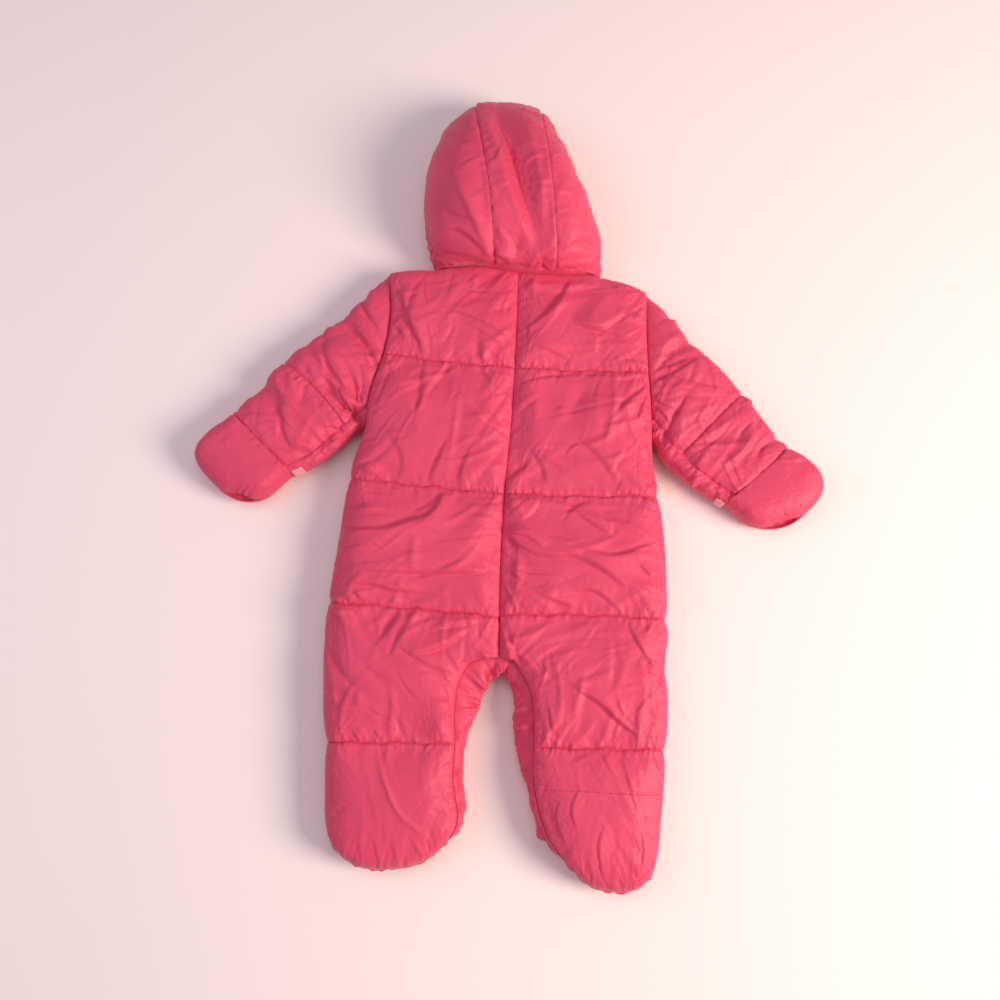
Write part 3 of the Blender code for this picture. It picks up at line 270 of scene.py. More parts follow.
# ---- creases: a path in plan, the depth of the fold that runs along it, the width of its steep
# side, the height of the crest (positive on the path's left) and how far its gentle side reaches.
# A negative depth is a plain ridge ----
Crease = namedtuple("Crease", "path depth width lift spread", defaults=(0, None))
BACK_CREASES = table(
    Crease,
    # left half, waist to hip
    (((-152, -35), (-125, -39), (-106, -37), (-86, -30), (-69, -25), (-58, -10), (-55, 3)),
     6.5, 6.5, -2),
    (((-53, -1), (-67, -14), (-85, -23)), 2.5, 5, 1),
    (((-144, -78), (-104, -80), (-57, -81), (-10, -79)), 3.5, 5, 1.2),
    (((-81, -44), (-82, -60), (-84, -77)), -1.5, 3),
    (((-144, -90), (-121, -92), (-95, -98), (-76, -98)), 3, 4.5, 1.5),
    (((-140, -96), (-130, -106)), 2, 3.5, 1.2),
    (((-161, -106), (-146, -132)), 1.6, 3, 0.8),
    # left half, seat
    (((-90, -109), (-99, -125), (-117, -150)), 3, 5, 1.6),
    (((-75, -111), (-89, -132), (-103, -160)), 3.2, 5, 1.6),
    (((-99, -102), (-110, -117)), 2.2, 4, 1.2),
    (((-84, -158), (-56, -151), (-28, -134)), 4, 5, 2),
    (((-66, -136), (-38, -129), (-19, -127)), 3, 4, 1.5),
    (((-95, -150), (-60, -170), (-40, -176)), 2, 4.5, 1),
    # left half, chest
    (((-76, 134), (-77, 108), (-80, 80)), 2.2, 5, 1),
    (((-75, 98), (-84, 70)), 2, 4, 1),
    (((-45, 150), (-57, 122), (-72, 96)), 2.2, 5, -1),
    (((-18, 146), (-16, 120), (6, 102)), 2.4, 4, 1),
    (((-27, 88), (-10, 78), (2, 66)), 2, 4, 1.2),
    (((-51, 52), (-63, 25), (-72, 4)), 2.4, 4.5, 1.4),
    (((-29, 44), (-38, 20), (-42, 4)), 1.6, 4, 1),
    (((-110, 60), (-95, 30), (-98, 10)), 1.5, 5, 0.8),
    # left half, yoke
    (((-101, 212), (-92, 176), (-80, 150), (-77, 137)), 3.5, 6, 1.8),
    (((-68, 194), (-40, 182), (-10, 168), (12, 153)), 3.2, 5, 1.8),
    (((-40, 174), (-16, 161), (4, 148)), 1.6, 3.5, 1),
    (((-104, 168), (-94, 157)), 2, 4, 1),
    (((-23, 226), (-28, 208)), -1.6, 2.5),
    (((-60, 150), (-50, 165), (-48, 176)), 1.4, 4, 0.8),
    # right half, yoke
    (((26, 166), (50, 185), (62, 202), (72, 222)), 3.6, 6, -2),
    (((35, 224), (33, 200)), -1.5, 3),
    (((75, 209), (101, 212)), 1.8, 2.6, 1),
    (((72, 172), (100, 165), (115, 173), (127, 187)), 3, 6, 1.8),
    (((72, 168), (105, 162), (144, 147)), 2.2, 4, 1.2),
    (((18, 155), (45, 145), (70, 133)), 1.8, 3.5, 1),
    (((95, 140), (98, 152), (94, 162)), 1.4, 3.5, 0.8),
    # right half, chest
    (((20, 107), (45, 116), (79, 119), (118, 118)), 3.2, 5, -1.2),
    (((13, 79), (25, 87), (38, 95)), 2, 4.5, 1),
    (((71, 76), (58, 86)), 1.6, 4, 0.8),
    (((146, 108), (128, 92), (108, 70)), 3.2, 5, 1.8),
    (((149, 103), (139, 84), (134, 70)), 2.4, 3.5, 1.4),
    (((148, 121), (128, 115), (112, 113)), 2.2, 3.5, -1.2),
    (((148, 131), (120, 134)), 1.6, 3, 0.8),
    (((30, 40), (42, 20), (44, 5)), 1.8, 4.5, 1),
    (((75, 52), (100, 28), (112, 8)), 1.8, 6, 1),
    # right half, waist to hip
    (((112, 1), (135, -9), (157, -21)), 3, 4, 1.8),
    (((70, -20), (90, -34), (106, -43), (107, -30)), 2.6, 5, 1.4),
    (((6, -40), (27, -47), (42, -58)), 2.6, 4, 1.4),
    (((8, -50), (43, -65), (71, -66), (95, -77), (118, -95)), 3.4, 5.5, 2),
    (((81, -58), (105, -64), (134, -56), (150, -50)), 3.4, 4.5, -1.8),
    (((132, -74), (142, -82), (156, -81)), 2.4, 3, 1.2),
    (((17, -56), (16, -98)), -1.8, 3),
    (((38, -101), (57, -109), (73, -114)), 1.8, 3.5, 1.2),
    (((57, -102), (85, -97), (113, -117)), 2.2, 3.5, 1.2),
    (((20, -30), (34, -18), (38, -8)), 1.8, 3.5, 1),
    (((96, -8), (70, -18), (60, -32)), 1.4, 4, 0.8),
    # right half, seat and leg
    (((66, -142), (94, -139), (124, -143)), 2, 4, 1.2),
    (((119, -127), (129, -148), (142, -170)), 2.4, 3, 1.4),
    (((154, -167), (142, -163), (132, -157)), 3, 3, 1.6),
    (((150, -178), (136, -173), (130, -163)), 2.4, 3, 1.4),
    (((3, -131), (12, -155), (20, -175), (26, -192)), 4, 4.5, -2),
    (((68, -188), (92, -203), (115, -224), (130, -232)), 2.6, 4, 1.8),
    (((44, -203), (48, -228)), 1.4, 3, 1),
    (((36, -190), (60, -184), (84, -190)), 1.6, 5, 1),
    (((92, -246), (102, -267)), 1.2, 1.8, 0.8),
    (((73, -275), (64, -297), (69, -316)), 1, 1.6, 0.7, 9),
    (((110, -250), (118, -279), (124, -303)), 1.1, 1.8, 0.7, 10),
    (((94, -305), (88, -327), (92, -359)), 1.2, 1.8, 0.7, 10),
    (((126, -312), (129, -332), (126, -352)), 1, 1.8, 0.6, 9),
    (((140, -250), (149, -268)), 1.2, 1.8, 0.8, 7),
    (((54, -286), (50, -306), (60, -330)), 0.8, 2, 0.5),
    # left leg and foot
    (((-136, -226), (-128, -240)), 2, 2.6, 1.2),
    (((-116, -226), (-108, -240)), 2, 2.6, 1.2),
    (((-130, -188), (-131, -205)), -1, 2.4),
    (((-114, -242), (-105, -271), (-90, -301), (-66, -320)), -1.3, 1.5),
    (((-114, -322), (-109, -346)), 0.9, 2.6, 0.6, 9),
    (((-100, -320), (-92, -346)), 0.7, 2.4, 0.5, 9),
    (((-81, -322), (-68, -343)), 0.8, 2.4, 0.6, 9),
)
SLEEVE_DENTS = {
    -1: table(
        Crease,
        (((-140, 226), (-135, 186), (-126, 173), (-115, 154)), 4, 4),
        (((-184, 176), (-175, 157), (-172, 134), (-159, 114), (-143, 106)), 2.8, 6),
        (((-206, 168), (-190, 147), (-183, 132), (-175, 114), (-166, 101)), 2.6, 5.5),
        (((-254, 134), (-226, 96), (-216, 82)), 3.8, 4.5),
        (((-244, 106), (-221, 87), (-210, 54), (-202, 39)), 2.8, 5),
        (((-228, 118), (-214, 88), (-198, 62), (-184, 54)), 2.6, 5),
        (((-178, 112), (-173, 106), (-162, 92), (-153, 81), (-143, 78)), 5, 4.5),
        (((-166, 143), (-153, 127), (-144, 110), (-138, 86)), 4.6, 4.5),
        (((-140, 128), (-136, 112), (-136, 90)), 3.6, 3.6),
        (((-164, 88), (-153, 84), (-143, 79), (-131, 70)), 12, 6),
        (((-150, 74), (-168, 58), (-190, 39)), 3, 7),
        (((-157, 178), (-146, 163), (-133, 145), (-122, 129)), 2.6, 3),
    ),
    1: table(
        Crease,
        (((206, 144), (194, 139), (180, 136), (164, 128)), 3.4, 5),
        (((228, 106), (198, 109), (179, 114), (160, 121)), 2.6, 6),
        (((184, 98), (168, 68), (158, 50)), 5, 6),
        (((232, 74), (218, 57), (203, 45), (188, 36)), 2.8, 5),
        (((246, 68), (240, 62), (230, 50)), 2, 4),
        (((291, 72), (267, 51), (256, 43), (248, 32)), 4.6, 4),
        (((148, 110), (167, 119), (182, 126)), 2.4, 4),
    ),
}
SLEEVE_CREASES = {
    -1: table(
        Crease,
        (((-137, 216), (-135, 186), (-126, 173), (-116, 155)), 1.6, 3, 1.6, 12),
        (((-183, 176), (-175, 157), (-172, 134), (-159, 114), (-143, 105)), 1.6, 4, 1.8, 14),
        (((-152, 172), (-136, 140), (-124, 118)), 1.2, 3, 1, 10),
        (((-160, 104), (-153, 91), (-145, 82)), 2.6, 2.8, 1.6, 8),
        (((-150, 118), (-143, 104), (-142, 88)), 2.2, 2.6, -1.4, 8),
        (((-172, 101), (-158, 86), (-146, 80)), 2.2, 2.8, 1.4, 8),
        (((-164, 116), (-152, 104), (-146, 96)), 1.6, 2.4, 1, 7),
        (((-182, 66), (-164, 66), (-147, 62)), 1.4, 2.6, 1, 8),
        (((-236, 119), (-222, 104), (-212, 73), (-195, 56), (-182, 52)), 1.8, 3.8, 1.8, 14),
        (((-242, 105), (-221, 87), (-210, 54), (-202, 39)), 1.6, 3.4, 1.6, 12),
        (((-200, 140), (-190, 122), (-178, 108)), 1.2, 3.6, 1.2, 12),
        (((-253, 78), (-233, 55), (-212, 30)), 1.4, 2.6, 1.2, 8),
        (((-152, 60), (-166, 51), (-185, 33)), 1.4, 2.6, 1, 8),
    ),
    1: table(
        Crease,
        (((149, 108), (167, 119), (180, 125), (200, 139)), 2, 3, -1.6, 10),
        (((148, 101), (171, 103), (198, 101)), 1.6, 3, 1.4, 12),
        (((149, 95), (163, 86), (172, 82)), 1.8, 2.4, 1.2, 8),
        (((149, 90), (162, 76), (166, 68)), 1.8, 2.4, 1.2, 8),
        (((172, 134), (166, 120), (160, 108)), 1, 2.6, 1, 9),
        (((184, 96), (168, 68), (159, 52)), 2.6, 3.4, 2.2, 10),
        (((222, 106), (198, 109), (179, 114), (161, 121)), 1.4, 3.6, 1.4, 14),
        (((229, 71), (218, 57), (203, 45), (189, 37)), 1.8, 3.2, 1.6, 12),
        (((248, 70), (235, 56)), 1.6, 2.6, 1.2, 8),
        (((221, 42), (230, 18), (240, -5)), 0.9, 1.6, 0.9, 6),
        (((214, 34), (222, 14), (230, -2)), 0.7, 1.6, 0.8, 6),
        (((274, 60), (262, 48), (250, 34)), 1.6, 2.8, 1.2, 8),
        (((206, 88), (196, 78), (190, 66)), 1.2, 3, 1, 10),
    ),
}
MITT_CREASES = {
    -1: table(Crease, (((-262, 62), (-274, 48)), 0.8, 4, 0.6)),
    1: table(
        Crease,
        (((272, 30), (286, 30), (300, 32)), 1.4, 2.4, 1, 8),
        (((284, 52), (296, 46), (304, 36)), 1.2, 3, 0.8, 8),
    ),
}
HOOD_DENTS = table(
    Crease,
    (((-4, 396), (0, 373), (12, 336), (22, 293), (32, 261), (37, 244)), 13, 9, 0, 16),
    (((-14, 372), (-3, 345), (8, 300), (22, 262), (28, 248)), -3, 5),
    (((28, 372), (37, 325), (41, 293), (42, 258)), -3.2, 8, 0, 4.5),
    (((-48, 318), (-38, 300), (-24, 268), (-14, 244)), -3.4, 7),
    (((-62, 292), (-52, 276), (-34, 262)), 3.4, 9),
    (((20, 253), (16, 242), (12, 230)), 4, 6),
    (((70, 242), (80, 252), (96, 256)), 2.4, 6),
)
HOOD_CREASES = table(
    Crease,
    (((-3, 384), (2, 366), (13, 334), (22, 293), (32, 261)), 1.6, 3.6, 1.8, 16),
    (((-20, 362), (-10, 368), (-1, 362), (0, 340), (-6, 326), (-16, 323)), 2, 2.8, 1.6, 9),
    (((-24, 372), (-17, 356), (-15, 340), (-13, 328)), 1.6, 2.6, -1.2, 7),
    (((-64, 262), (-48, 262), (-30, 252), (-10, 235)), 3.4, 4, 1.8),
    (((-68, 250), (-50, 244), (-22, 236), (-8, 232)), 2.6, 3.2, 1.4),
    (((-58, 285), (-44, 274), (-30, 268), (-14, 262)), 1.6, 3, 1.2),
    (((-46, 306), (-31, 273), (-14, 240)), 1.4, 3, 1.4, 16),
    (((64, 238), (74, 247), (84, 251), (97, 253)), 3, 3.4, 2),
    (((58, 262), (68, 266), (80, 262)), 1.4, 2.6, 1.2),
    (((26, 226), (40, 235), (57, 243)), 4, 3.2, 2.4, 9),
    (((30, 226), (45, 232), (57, 234)), 2.6, 2.4, 1.6, 7),
    (((-18, 237), (0, 236), (13, 231), (21, 224)), 3.6, 3.2, 2, 9),
    (((-4, 262), (8, 250), (17, 236)), 2.4, 3, -1.6, 9),
    (((24, 322), (36, 330), (46, 328)), 1.6, 2.4, 1.2, 8),
    (((28, 306), (38, 300), (50, 302)), 1.4, 2, 1, 7),
    (((32, 350), (40, 342), (48, 340)), 1.3, 2, 1, 7),
    (((30, 285), (40, 280), (52, 283)), 1.4, 2.2, 1, 8),
    (((18, 398), (34, 392), (46, 394)), 1.2, 2.2, 1.2, 8),
    (((26, 376), (36, 370), (46, 372)), 1.4, 2.2, 1.2, 8),
    (((-12, 300), (0, 296), (12, 302)), 1.2, 2.2, 1, 8),
    (((-26, 352), (-38, 346), (-48, 348)), 1.4, 2.4, 1, 8),
    (((-18, 330), (-30, 326), (-40, 320)), 1.4, 2.4, 1, 8),
    (((-12, 296), (-22, 292), (-30, 284)), 1, 2.2, 0.8, 7),
    (((54, 330), (62, 336), (70, 332)), 1.2, 2.2, 0.8, 8),
    (((56, 288), (64, 292), (74, 288)), 1, 2.2, 0.8, 8),
)

# a line of stitches without a valley, across the right calf, and the column of the back's grid
# where it is looked for
SHALLOW_LINE = ((31, -275), (99, -281), (146, -283))
SHALLOW_COLUMN = 60

# ---- puckers along a line of stitches: mm between them, how far they reach and how high they
# are. A seed starts their random places ----
Pucker = namedtuple("Pucker", "spacing reach height seed")
BACK_PUCKERS = table(Pucker, (3.5, 4.5, 1.3, 20), (4.6, 7.5, 2, 0), (11, 15, 1.3, 50))
CENTRE_PUCKERS = Pucker(9, 10, 1.4, 31)
LEG_PUCKERS = Pucker(5.5, 9, 1.8, 36)
SIDE_PUCKERS = Pucker(8, 13, 1.5, 41)
TOE_PUCKERS = Pucker(6, 14, 1.8, 51)
SHALLOW_PUCKERS = Pucker(7, 5, 0.9, 61)
SLEEVE_PUCKERS = table(Pucker, (4.6, 7, 1.8, 200), (10, 13, 1.6, 205))
ARMHOLE_PUCKERS = Pucker(8, 10, 1.3, 220)
UNDERARM_PUCKERS = {side: Pucker(6, 8, 1.1 + 0.4 * side, 230) for side in (-1, 1)}
CAP_PUCKERS = Pucker(5.5, 8, 1.5, 236)
MITT_PUCKERS = Pucker(5, 8, 1.8, 282)
HOOD_PUCKERS = Pucker(9, 11, 2, 0)

# ---- small folds at random places: how many, their length and width in mm, the slope of their
# sides, and their mean direction and its spread in degrees where that is the same all over ----
Folds = namedtuple("Folds", "count length width slope seed heading", defaults=(None,))
BACK_FOLDS = table(
    Folds,
    (24, (30, 60), (16, 34), (0.07, 0.16), 71),
    (110, (16, 46), (3.8, 9.5), (0.12, 0.38), 75),
    (170, (9, 26), (1.6, 4), (0.20, 0.52), 79),
)
SLEEVE_FOLDS = table(
    Folds,
    (14, (26, 46), (14, 26), (0.08, 0.18), 240),
    (50, (14, 34), (4, 8.5), (0.12, 0.40), 243),
    (60, (7, 16), (1.8, 4), (0.20, 0.50), 246),
)
SLEEVE_SIDE_FOLDS = table(Folds, (70, (8, 20), (3, 9), (0.3, 0.7), 249, (80, 35)))
MITT_FOLDS = table(Folds, (10, (10, 26), (6, 14), (0.03, 0.1), 260, (90, 60)))
HOOD_BROAD_FOLDS = table(Folds, (9, (30, 56), (16, 30), (0.06, 0.14), 40, (80, 40)))
HOOD_FOLDS = table(
    Folds,
    (7, (12, 30), (5, 11), (0.06, 0.2), 50, (80, 60)),
    (9, (7, 16), (1.8, 4), (0.1, 0.3), 60, (80, 60)),
)
HOOD_SIDE_FOLDS = table(
    Folds,
    (22, (16, 40), (6, 13), (0.2, 0.5), 70, (15, 35)),
    (40, (8, 20), (2.2, 5), (0.3, 0.8), 80, (25, 50)),
)
STRIP_FOLDS = table(
    Folds,
    (80, (12, 26), (5, 12), (0.25, 0.6), 404, (60, 30)),
    (90, (6, 14), (2, 4.5), (0.2, 0.5), 405, (90, 60)),
)

# ---- colours, sRGB ----
NYLON = "#DE4A6B"
NYLON_DEEP = "#D03E5F"
SHEEN = "#FFC6D0"
# thread: the nylon's colour, darkened as painted shade of the valleys that the stitches lie in
THREAD_SHADED = "#C23A56"
SATIN = "#F29CAA"
TAPE = "#B8304C"
TEETH = "#C43450"
METAL = "#C9C6C2"
FLOOR = "#F3E9E4"


# ---- curves and blends ----
def through(table, at):
    """Smooth values at the places 'at' of a curve through a table of (place, value...) rows: cubic
    pieces whose slopes are the mean slopes of their neighbours."""
    table = np.asarray(table, float)
    keys = table[:, 0]
    values = table[:, 1:]
    slopes = np.gradient(values, keys, axis=0)
    at = np.clip(np.asarray(at, float), keys[0], keys[-1])
    i = np.clip(np.searchsorted(keys, at, side="right") - 1, 0, len(keys) - 2)
    width = (keys[i + 1] - keys[i])[..., None]
    t = ((at - keys[i])[..., None]) / width
    curve = ((2 * t**3 - 3 * t**2 + 1) * values[i] + (t**3 - 2 * t**2 + t) * width * slopes[i]
             + (3 * t**2 - 2 * t**3) * values[i + 1] + (t**3 - t**2) * width * slopes[i + 1])
    return curve[..., 0] if values.shape[1] == 1 else curve


def limited(a):
    """Values kept between 0 and 1."""
    return np.clip(a, 0, 1)


def bell(a):
    """1 at 0, and less and less on both sides."""
    return np.exp(-(a**2))


def round_roll(distance, width):
    """1 at a seam and 0 from 'width' on: the quarter circle of a padded edge that rolls over."""
    t = limited(distance / width)
    return 1 - np.sqrt(1 - (1 - t) ** 2)


def soft_roll(distance, width):
    """1 at a seam and 0 from 'width' on: the parabola of a puff's slope into a line of stitches."""
    return (1 - limited(distance / width)) ** 2


def blended(*drops):
    """The power sum of several slopes: a little more than the deepest of them where they meet."""
    return sum(np.maximum(drop, 0) ** DROP_POWER for drop in drops) ** (1 / DROP_POWER)


def round_end(u, mitt):
    """A mitt's end: a quarter of a superellipse on its head side, of another on its under side."""
    power = np.where(u < 0.5, mitt.head_round, mitt.under_round)
    return (1 - np.abs(2 * u - 1) ** power) ** (1 / power)


def toe_end(u):
    """The foot's end: a quarter of a superellipse on each side."""
    return 1 - np.abs(2 * u - 1) ** TOE_ROUND


def eased(count, ease):
    """Shares from 0 to 1, closer together at both ends."""
    t = np.linspace(0, 1, count)
    return t - ease * np.sin(2 * math.pi * t) / (2 * math.pi)


def evenly(stops, step):
    """Places from the first stop to the last, about 'step' apart, with one at each stop."""
    places = [np.array([stops[0]])]
    for start, end in zip(stops, stops[1:]):
        count = max(2, round((end - start) / step))
        places.append(start + (end - start) * np.arange(1, count + 1) / count)
    return np.concatenate(places)


def summed(steps):
    """Running totals of some steps, from 0."""
    return np.concatenate([[0], np.cumsum(steps)])


def steps_of(path):
    """Distances between the points of a path."""
    return np.linalg.norm(np.diff(path, axis=0), axis=1)


def smooth_path(path, step=6.0):
    """Points about 'step' mm apart on a smooth curve through a path's own points."""
    path = np.array(path, float)
    if len(path) == 2:
        return path
    key = summed(steps_of(path))
    count = max(len(path), int(key[-1] / step) + 1)
    return through(np.column_stack([key, path]), np.linspace(0, key[-1], count))


def follow(path, x, y):
    """For each place its nearest point on a smooth path: how far along that is, how far off the
    place is, positive on the path's left, and the path's length."""
    path = smooth_path(path)
    start = path[:-1]
    step = np.diff(path, axis=0)
    length = np.linalg.norm(step, axis=1)
    to = np.stack([x, y], axis=-1)[..., None, :] - start
    t = limited((to * step).sum(-1) / length**2)
    away = to - t[..., None] * step
    distance = np.linalg.norm(away, axis=-1)
    best = distance.argmin(axis=-1)[..., None]

    def at_best(values):
        return np.take_along_axis(values, best, -1)[..., 0]

    along = at_best(summed(length)[:-1] + t * length)
    side = at_best(step[:, 0] * away[..., 1] - step[:, 1] * away[..., 0])
    return along, np.sign(side) * at_best(distance), length.sum()


def around(path, x, y, reach):
    """Which places lie in a path's box, widened by 'reach'."""
    path = np.array(path, float)
    return ((x > path[:, 0].min() - reach) & (x < path[:, 0].max() + reach)
            & (y > path[:, 1].min() - reach) & (y < path[:, 1].max() + reach))


def creased(creases, x, y):
    """How far creases lift (or, below 0, lower) the cloth at (x, y). Along each path it rises from
    a narrow trough up a steep side to a crest, and falls from that in a long flat facet. All of it
    fades out towards the path's two ends."""
    lift = np.zeros_like(x)
    for crease in creases:
        steep = 0.62 * crease.width
        gentle = crease.spread or 8 + 2.4 * crease.width
        near = around(crease.path, x, y, gentle + 4 * steep)
        if not near.any():
            continue
        along, off, length = follow(crease.path, x[near], y[near])
        off = off * (np.sign(crease.lift) or 1.0)
        fade = np.sin(math.pi * limited(along / length)) ** 0.7
        if crease.depth < 0:
            rise = -crease.depth * limited(1 - np.abs(off) / (2.5 * crease.width)) ** 1.2
        else:
            crest = 0.75 * abs(crease.lift) + 0.35 * crease.depth
            thin = steep * (0.3 + 0.7 * fade)
            climb = np.clip(off / thin, -1, 1)
            facet = limited(1 - (off - steep) / gentle) ** 1.25
            rise = crest * np.where(climb < 1, (0.5 + 0.5 * np.sin(climb * math.pi / 2)), facet)
            rise -= 0.28 * crease.depth * np.exp(-np.abs(off / thin + 0.8) ** 1.3)
        lift[near] += fade * rise
    return lift


def dented(dents, x, y):
    """Hollows at (x, y), crisp along each path and soft further off, that fade at their ends.
    'spread' is the width of the slope on the path's left. A negative depth is a soft swelling."""
    lift = np.zeros_like(x)
    for dent in dents:
        left = dent.spread or dent.width
        near = around(dent.path, x, y, 3 * max(left, dent.width))
        if not near.any():
            continue
        along, off, length = follow(dent.path, x[near], y[near])
        fade = np.sin(math.pi * limited(0.06 + 0.88 * along / length)) ** 0.8
        off = np.sqrt(off**2 + 0.9) / np.where(off > 0, left, dent.width)
        lift[near] -= dent.depth * fade * np.exp(-(off**1.45))
    return lift


def crumpled(x, y, kinds, seed=0, heading=None, times=1):
    """The flat facets of crisp thin cloth at (x, y), from short folds at random places. Each is a
    tent that is crisp along its line, steeper on one side, and fades with distance from its middle.
    'heading', where given, tells the folds' mean direction at a y and its spread, in degrees."""
    total = np.zeros_like(x)
    for kind in kinds:
        random = np.random.RandomState(seed + kind.seed)
        for _ in range(kind.count * times):
            pick = random.randint(x.size)
            middle_x, middle_y = x.flat[pick], y.flat[pick]
            mean, spread = heading(middle_y) if heading else kind.heading
            turn = math.radians(mean + random.normal(0, spread))
            far = random.uniform(*kind.length)
            wide = random.uniform(*kind.width)
            bend = random.uniform(*kind.slope) * random.choice([-1, 1, 1])
            curve = random.normal(0, 0.16) / far
            uneven = random.uniform(-0.5, 0.5)
            near = np.hypot(x - middle_x, y - middle_y) < 2.2 * max(far, wide)
            to_x, to_y = x[near] - middle_x, y[near] - middle_y
            along = to_x * math.cos(turn) + to_y * math.sin(turn)
            across = to_y * math.cos(turn) - to_x * math.sin(turn) + curve * along**2
            fade = np.exp(-1.5 * (along / far) ** 2 - (across / wide) ** 2)
            down = np.sqrt(across**2 + 0.3) * (1 + uneven * np.sign(across))
            total[near] += bend * (0.5 * wide - down) * fade
    return total


def puckers(along, across, kind, seed=0):
    """Short ridges that fan out of a stitched line on both sides: bell-shaped along the line,
    rising from nothing at the stitches and dying out at the kind's reach, each at its own place,
    slant and size."""
    total = np.zeros_like(along)
    random = np.random.RandomState(seed + kind.seed)
    for side in (-1, 1):
        near = (across * side >= 0) & (np.abs(across) < 2 * kind.reach)
        if not near.any():
            continue
        s = along[near]
        d = np.abs(across[near])
        count = int((s.max() - s.min()) / kind.spacing) + 2
        gaps = random.normal(kind.spacing, 0.3 * kind.spacing, count).clip(0.5 * kind.spacing)
        places = s.min() + np.cumsum(gaps) - kind.spacing / 2
        tall = kind.height * random.uniform(0.25, 1.0, count)
        long = kind.reach * random.uniform(0.35, 1.0, count)
        slant = random.normal(0, 0.3, count)
        lift = np.zeros_like(s)
        for k in range(count):
            off = (s - places[k] - slant[k] * d) / (0.34 * kind.spacing)
            lift += tall[k] * np.exp(-np.abs(off) ** 1.4) * bell(d / long[k])
        total[near] += lift * (1 - np.exp(-d / 1.2))
    return total


def gathered(along, low, high, seed):
    """0 in the creases and up to 1 on the crests of cloth that is drawn up into round folds: the
    arch of a sine for each, from 'low' to 'high' mm wide, each with its own height."""
    random = np.random.RandomState(seed)
    count = int((np.ptp(along) + 2 * high) / low) + 2
    stops = along.min() - high + np.cumsum(random.uniform(low, high, count))
    stops = np.concatenate([[along.min() - 2 * high], stops])
    place = np.interp(along, stops, np.arange(count + 1))
    tall = random.uniform(0.45, 1.0, count + 2)
    return np.sin(math.pi * (place % 1)) ** 0.6 * tall[place.astype(int)]


def doubled(a):
    """An array with a new row midway between every two, on the cubic through the four nearest."""
    ends = np.concatenate([[2 * a[0] - a[1]], a, [2 * a[-1] - a[-2]]])
    out = np.empty((2 * len(a) - 1,) + a.shape[1:])
    out[::2] = a
    out[1::2] = (9 * (ends[1:-2] + ends[2:-1]) - ends[:-3] - ends[3:]) / 16
    return out


def finer(grid, closed=False):
    """Doubles a grid both ways. A closed grid joins its last column to its first."""
    grid = doubled(grid)
    if closed:
        wrapped = np.concatenate([grid[:, -2:], grid, grid[:, :3]], axis=1)
        return np.swapaxes(doubled(np.swapaxes(wrapped, 0, 1)), 0, 1)[:, 4:-5]
    return np.swapaxes(doubled(np.swapaxes(grid, 0, 1)), 0, 1)


def finer_maps(*maps, closed=False):
    """Several values for each point of a grid, doubled as the grid is."""
    return np.moveaxis(finer(np.stack(np.broadcast_arrays(*maps), axis=-1), closed), -1, 0)


def normals(grid, inside, closed=False):
    """Unit normals of a grid, from the cross product of its two directions, turned away from a
    point inside the piece."""
    if closed:
        wide = np.concatenate([grid[:, -1:], grid, grid[:, :1]], axis=1)
        across = (wide[:, 2:] - wide[:, :-2]) / 2
    else:
        across = np.gradient(grid, axis=1)
    normal = np.cross(across, np.gradient(grid, axis=0))
    normal /= np.maximum(np.linalg.norm(normal, axis=-1, keepdims=True), 1e-9)
    return normal * np.sign((normal * (grid - inside)).sum(-1).mean())


def below(grid):
    """A point far under the middle of a grid that lies flat."""
    return grid.mean(axis=(0, 1)) - [0, 0, 500]


def points(x, y, z):
    """A grid of points from maps of their coordinates."""
    return np.stack(np.broadcast_arrays(x, y, z), axis=-1).astype(float)


def centre_back(y):
    return through(CENTRE_BACK, y)


def top_edge(x):
    return through(TOP_EDGE, x)


def frame_shift():
    """How far the suit's own coordinates are from the frame's: the zip's slider gives both."""
    low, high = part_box("zip_slider")
    middle = (low + high) / 2 / MM
    return np.array([middle[0] - float(centre_back(SLIDER_Y)), middle[1] - SLIDER_Y, 0.0])


SHIFT = frame_shift()


# ---- meshes ----
def grid_faces(rows, cols, closed=False, first=0, turned=False):
    """Corner numbers of a grid's four-sided faces, whose points are numbered row by row."""
    r, c = np.meshgrid(np.arange(rows - 1), np.arange(cols if closed else cols - 1), indexing="ij")
    right = (c + 1) % cols
    corners = [r * cols + c, r * cols + right, (r + 1) * cols + right, (r + 1) * cols + c]
    faces = np.stack(corners[::-1] if turned else corners, axis=-1).reshape(-1, 4)
    return faces + first


def border(rows, cols):
    """Numbers of a grid's border points, once round."""
    number = np.arange(rows * cols).reshape(rows, cols)
    return np.concatenate([number[0, :-1], number[:-1, -1], number[-1, :0:-1], number[:0:-1, 0]])


def make_mesh(name, verts, faces, material, smooth=True):
    """An object with its points, in mm of the suit's own coordinates, carried to the frame."""
    mesh = bpy.data.meshes.new(name)
    mesh.from_pydata(((verts + SHIFT) * MM).tolist(), [], faces)
    mesh.materials.append(material)
    if smooth:
        mesh.shade_smooth()
        mesh.set_sharp_from_angle(angle=math.radians(62))
    piece = bpy.data.objects.new(name, mesh)
    bpy.context.scene.collection.objects.link(piece)
    return piece


def outward(piece):
    """Turns a closed mesh's faces outwards if they point in: its signed volume says which."""
    mesh = piece.data
    mesh.calc_loop_triangles()
    corners = np.empty(len(mesh.loop_triangles) * 3, np.int32)
    mesh.loop_triangles.foreach_get("vertices", corners)
    places = np.empty(len(mesh.vertices) * 3)
    mesh.vertices.foreach_get("co", places)
    a, b, c = places.reshape(-1, 3)[corners.reshape(-1, 3)].transpose(1, 0, 2)
    if np.einsum("ij,ij->i", a, np.cross(b, c)).sum() < 0:
        mesh.flip_normals()
    return piece


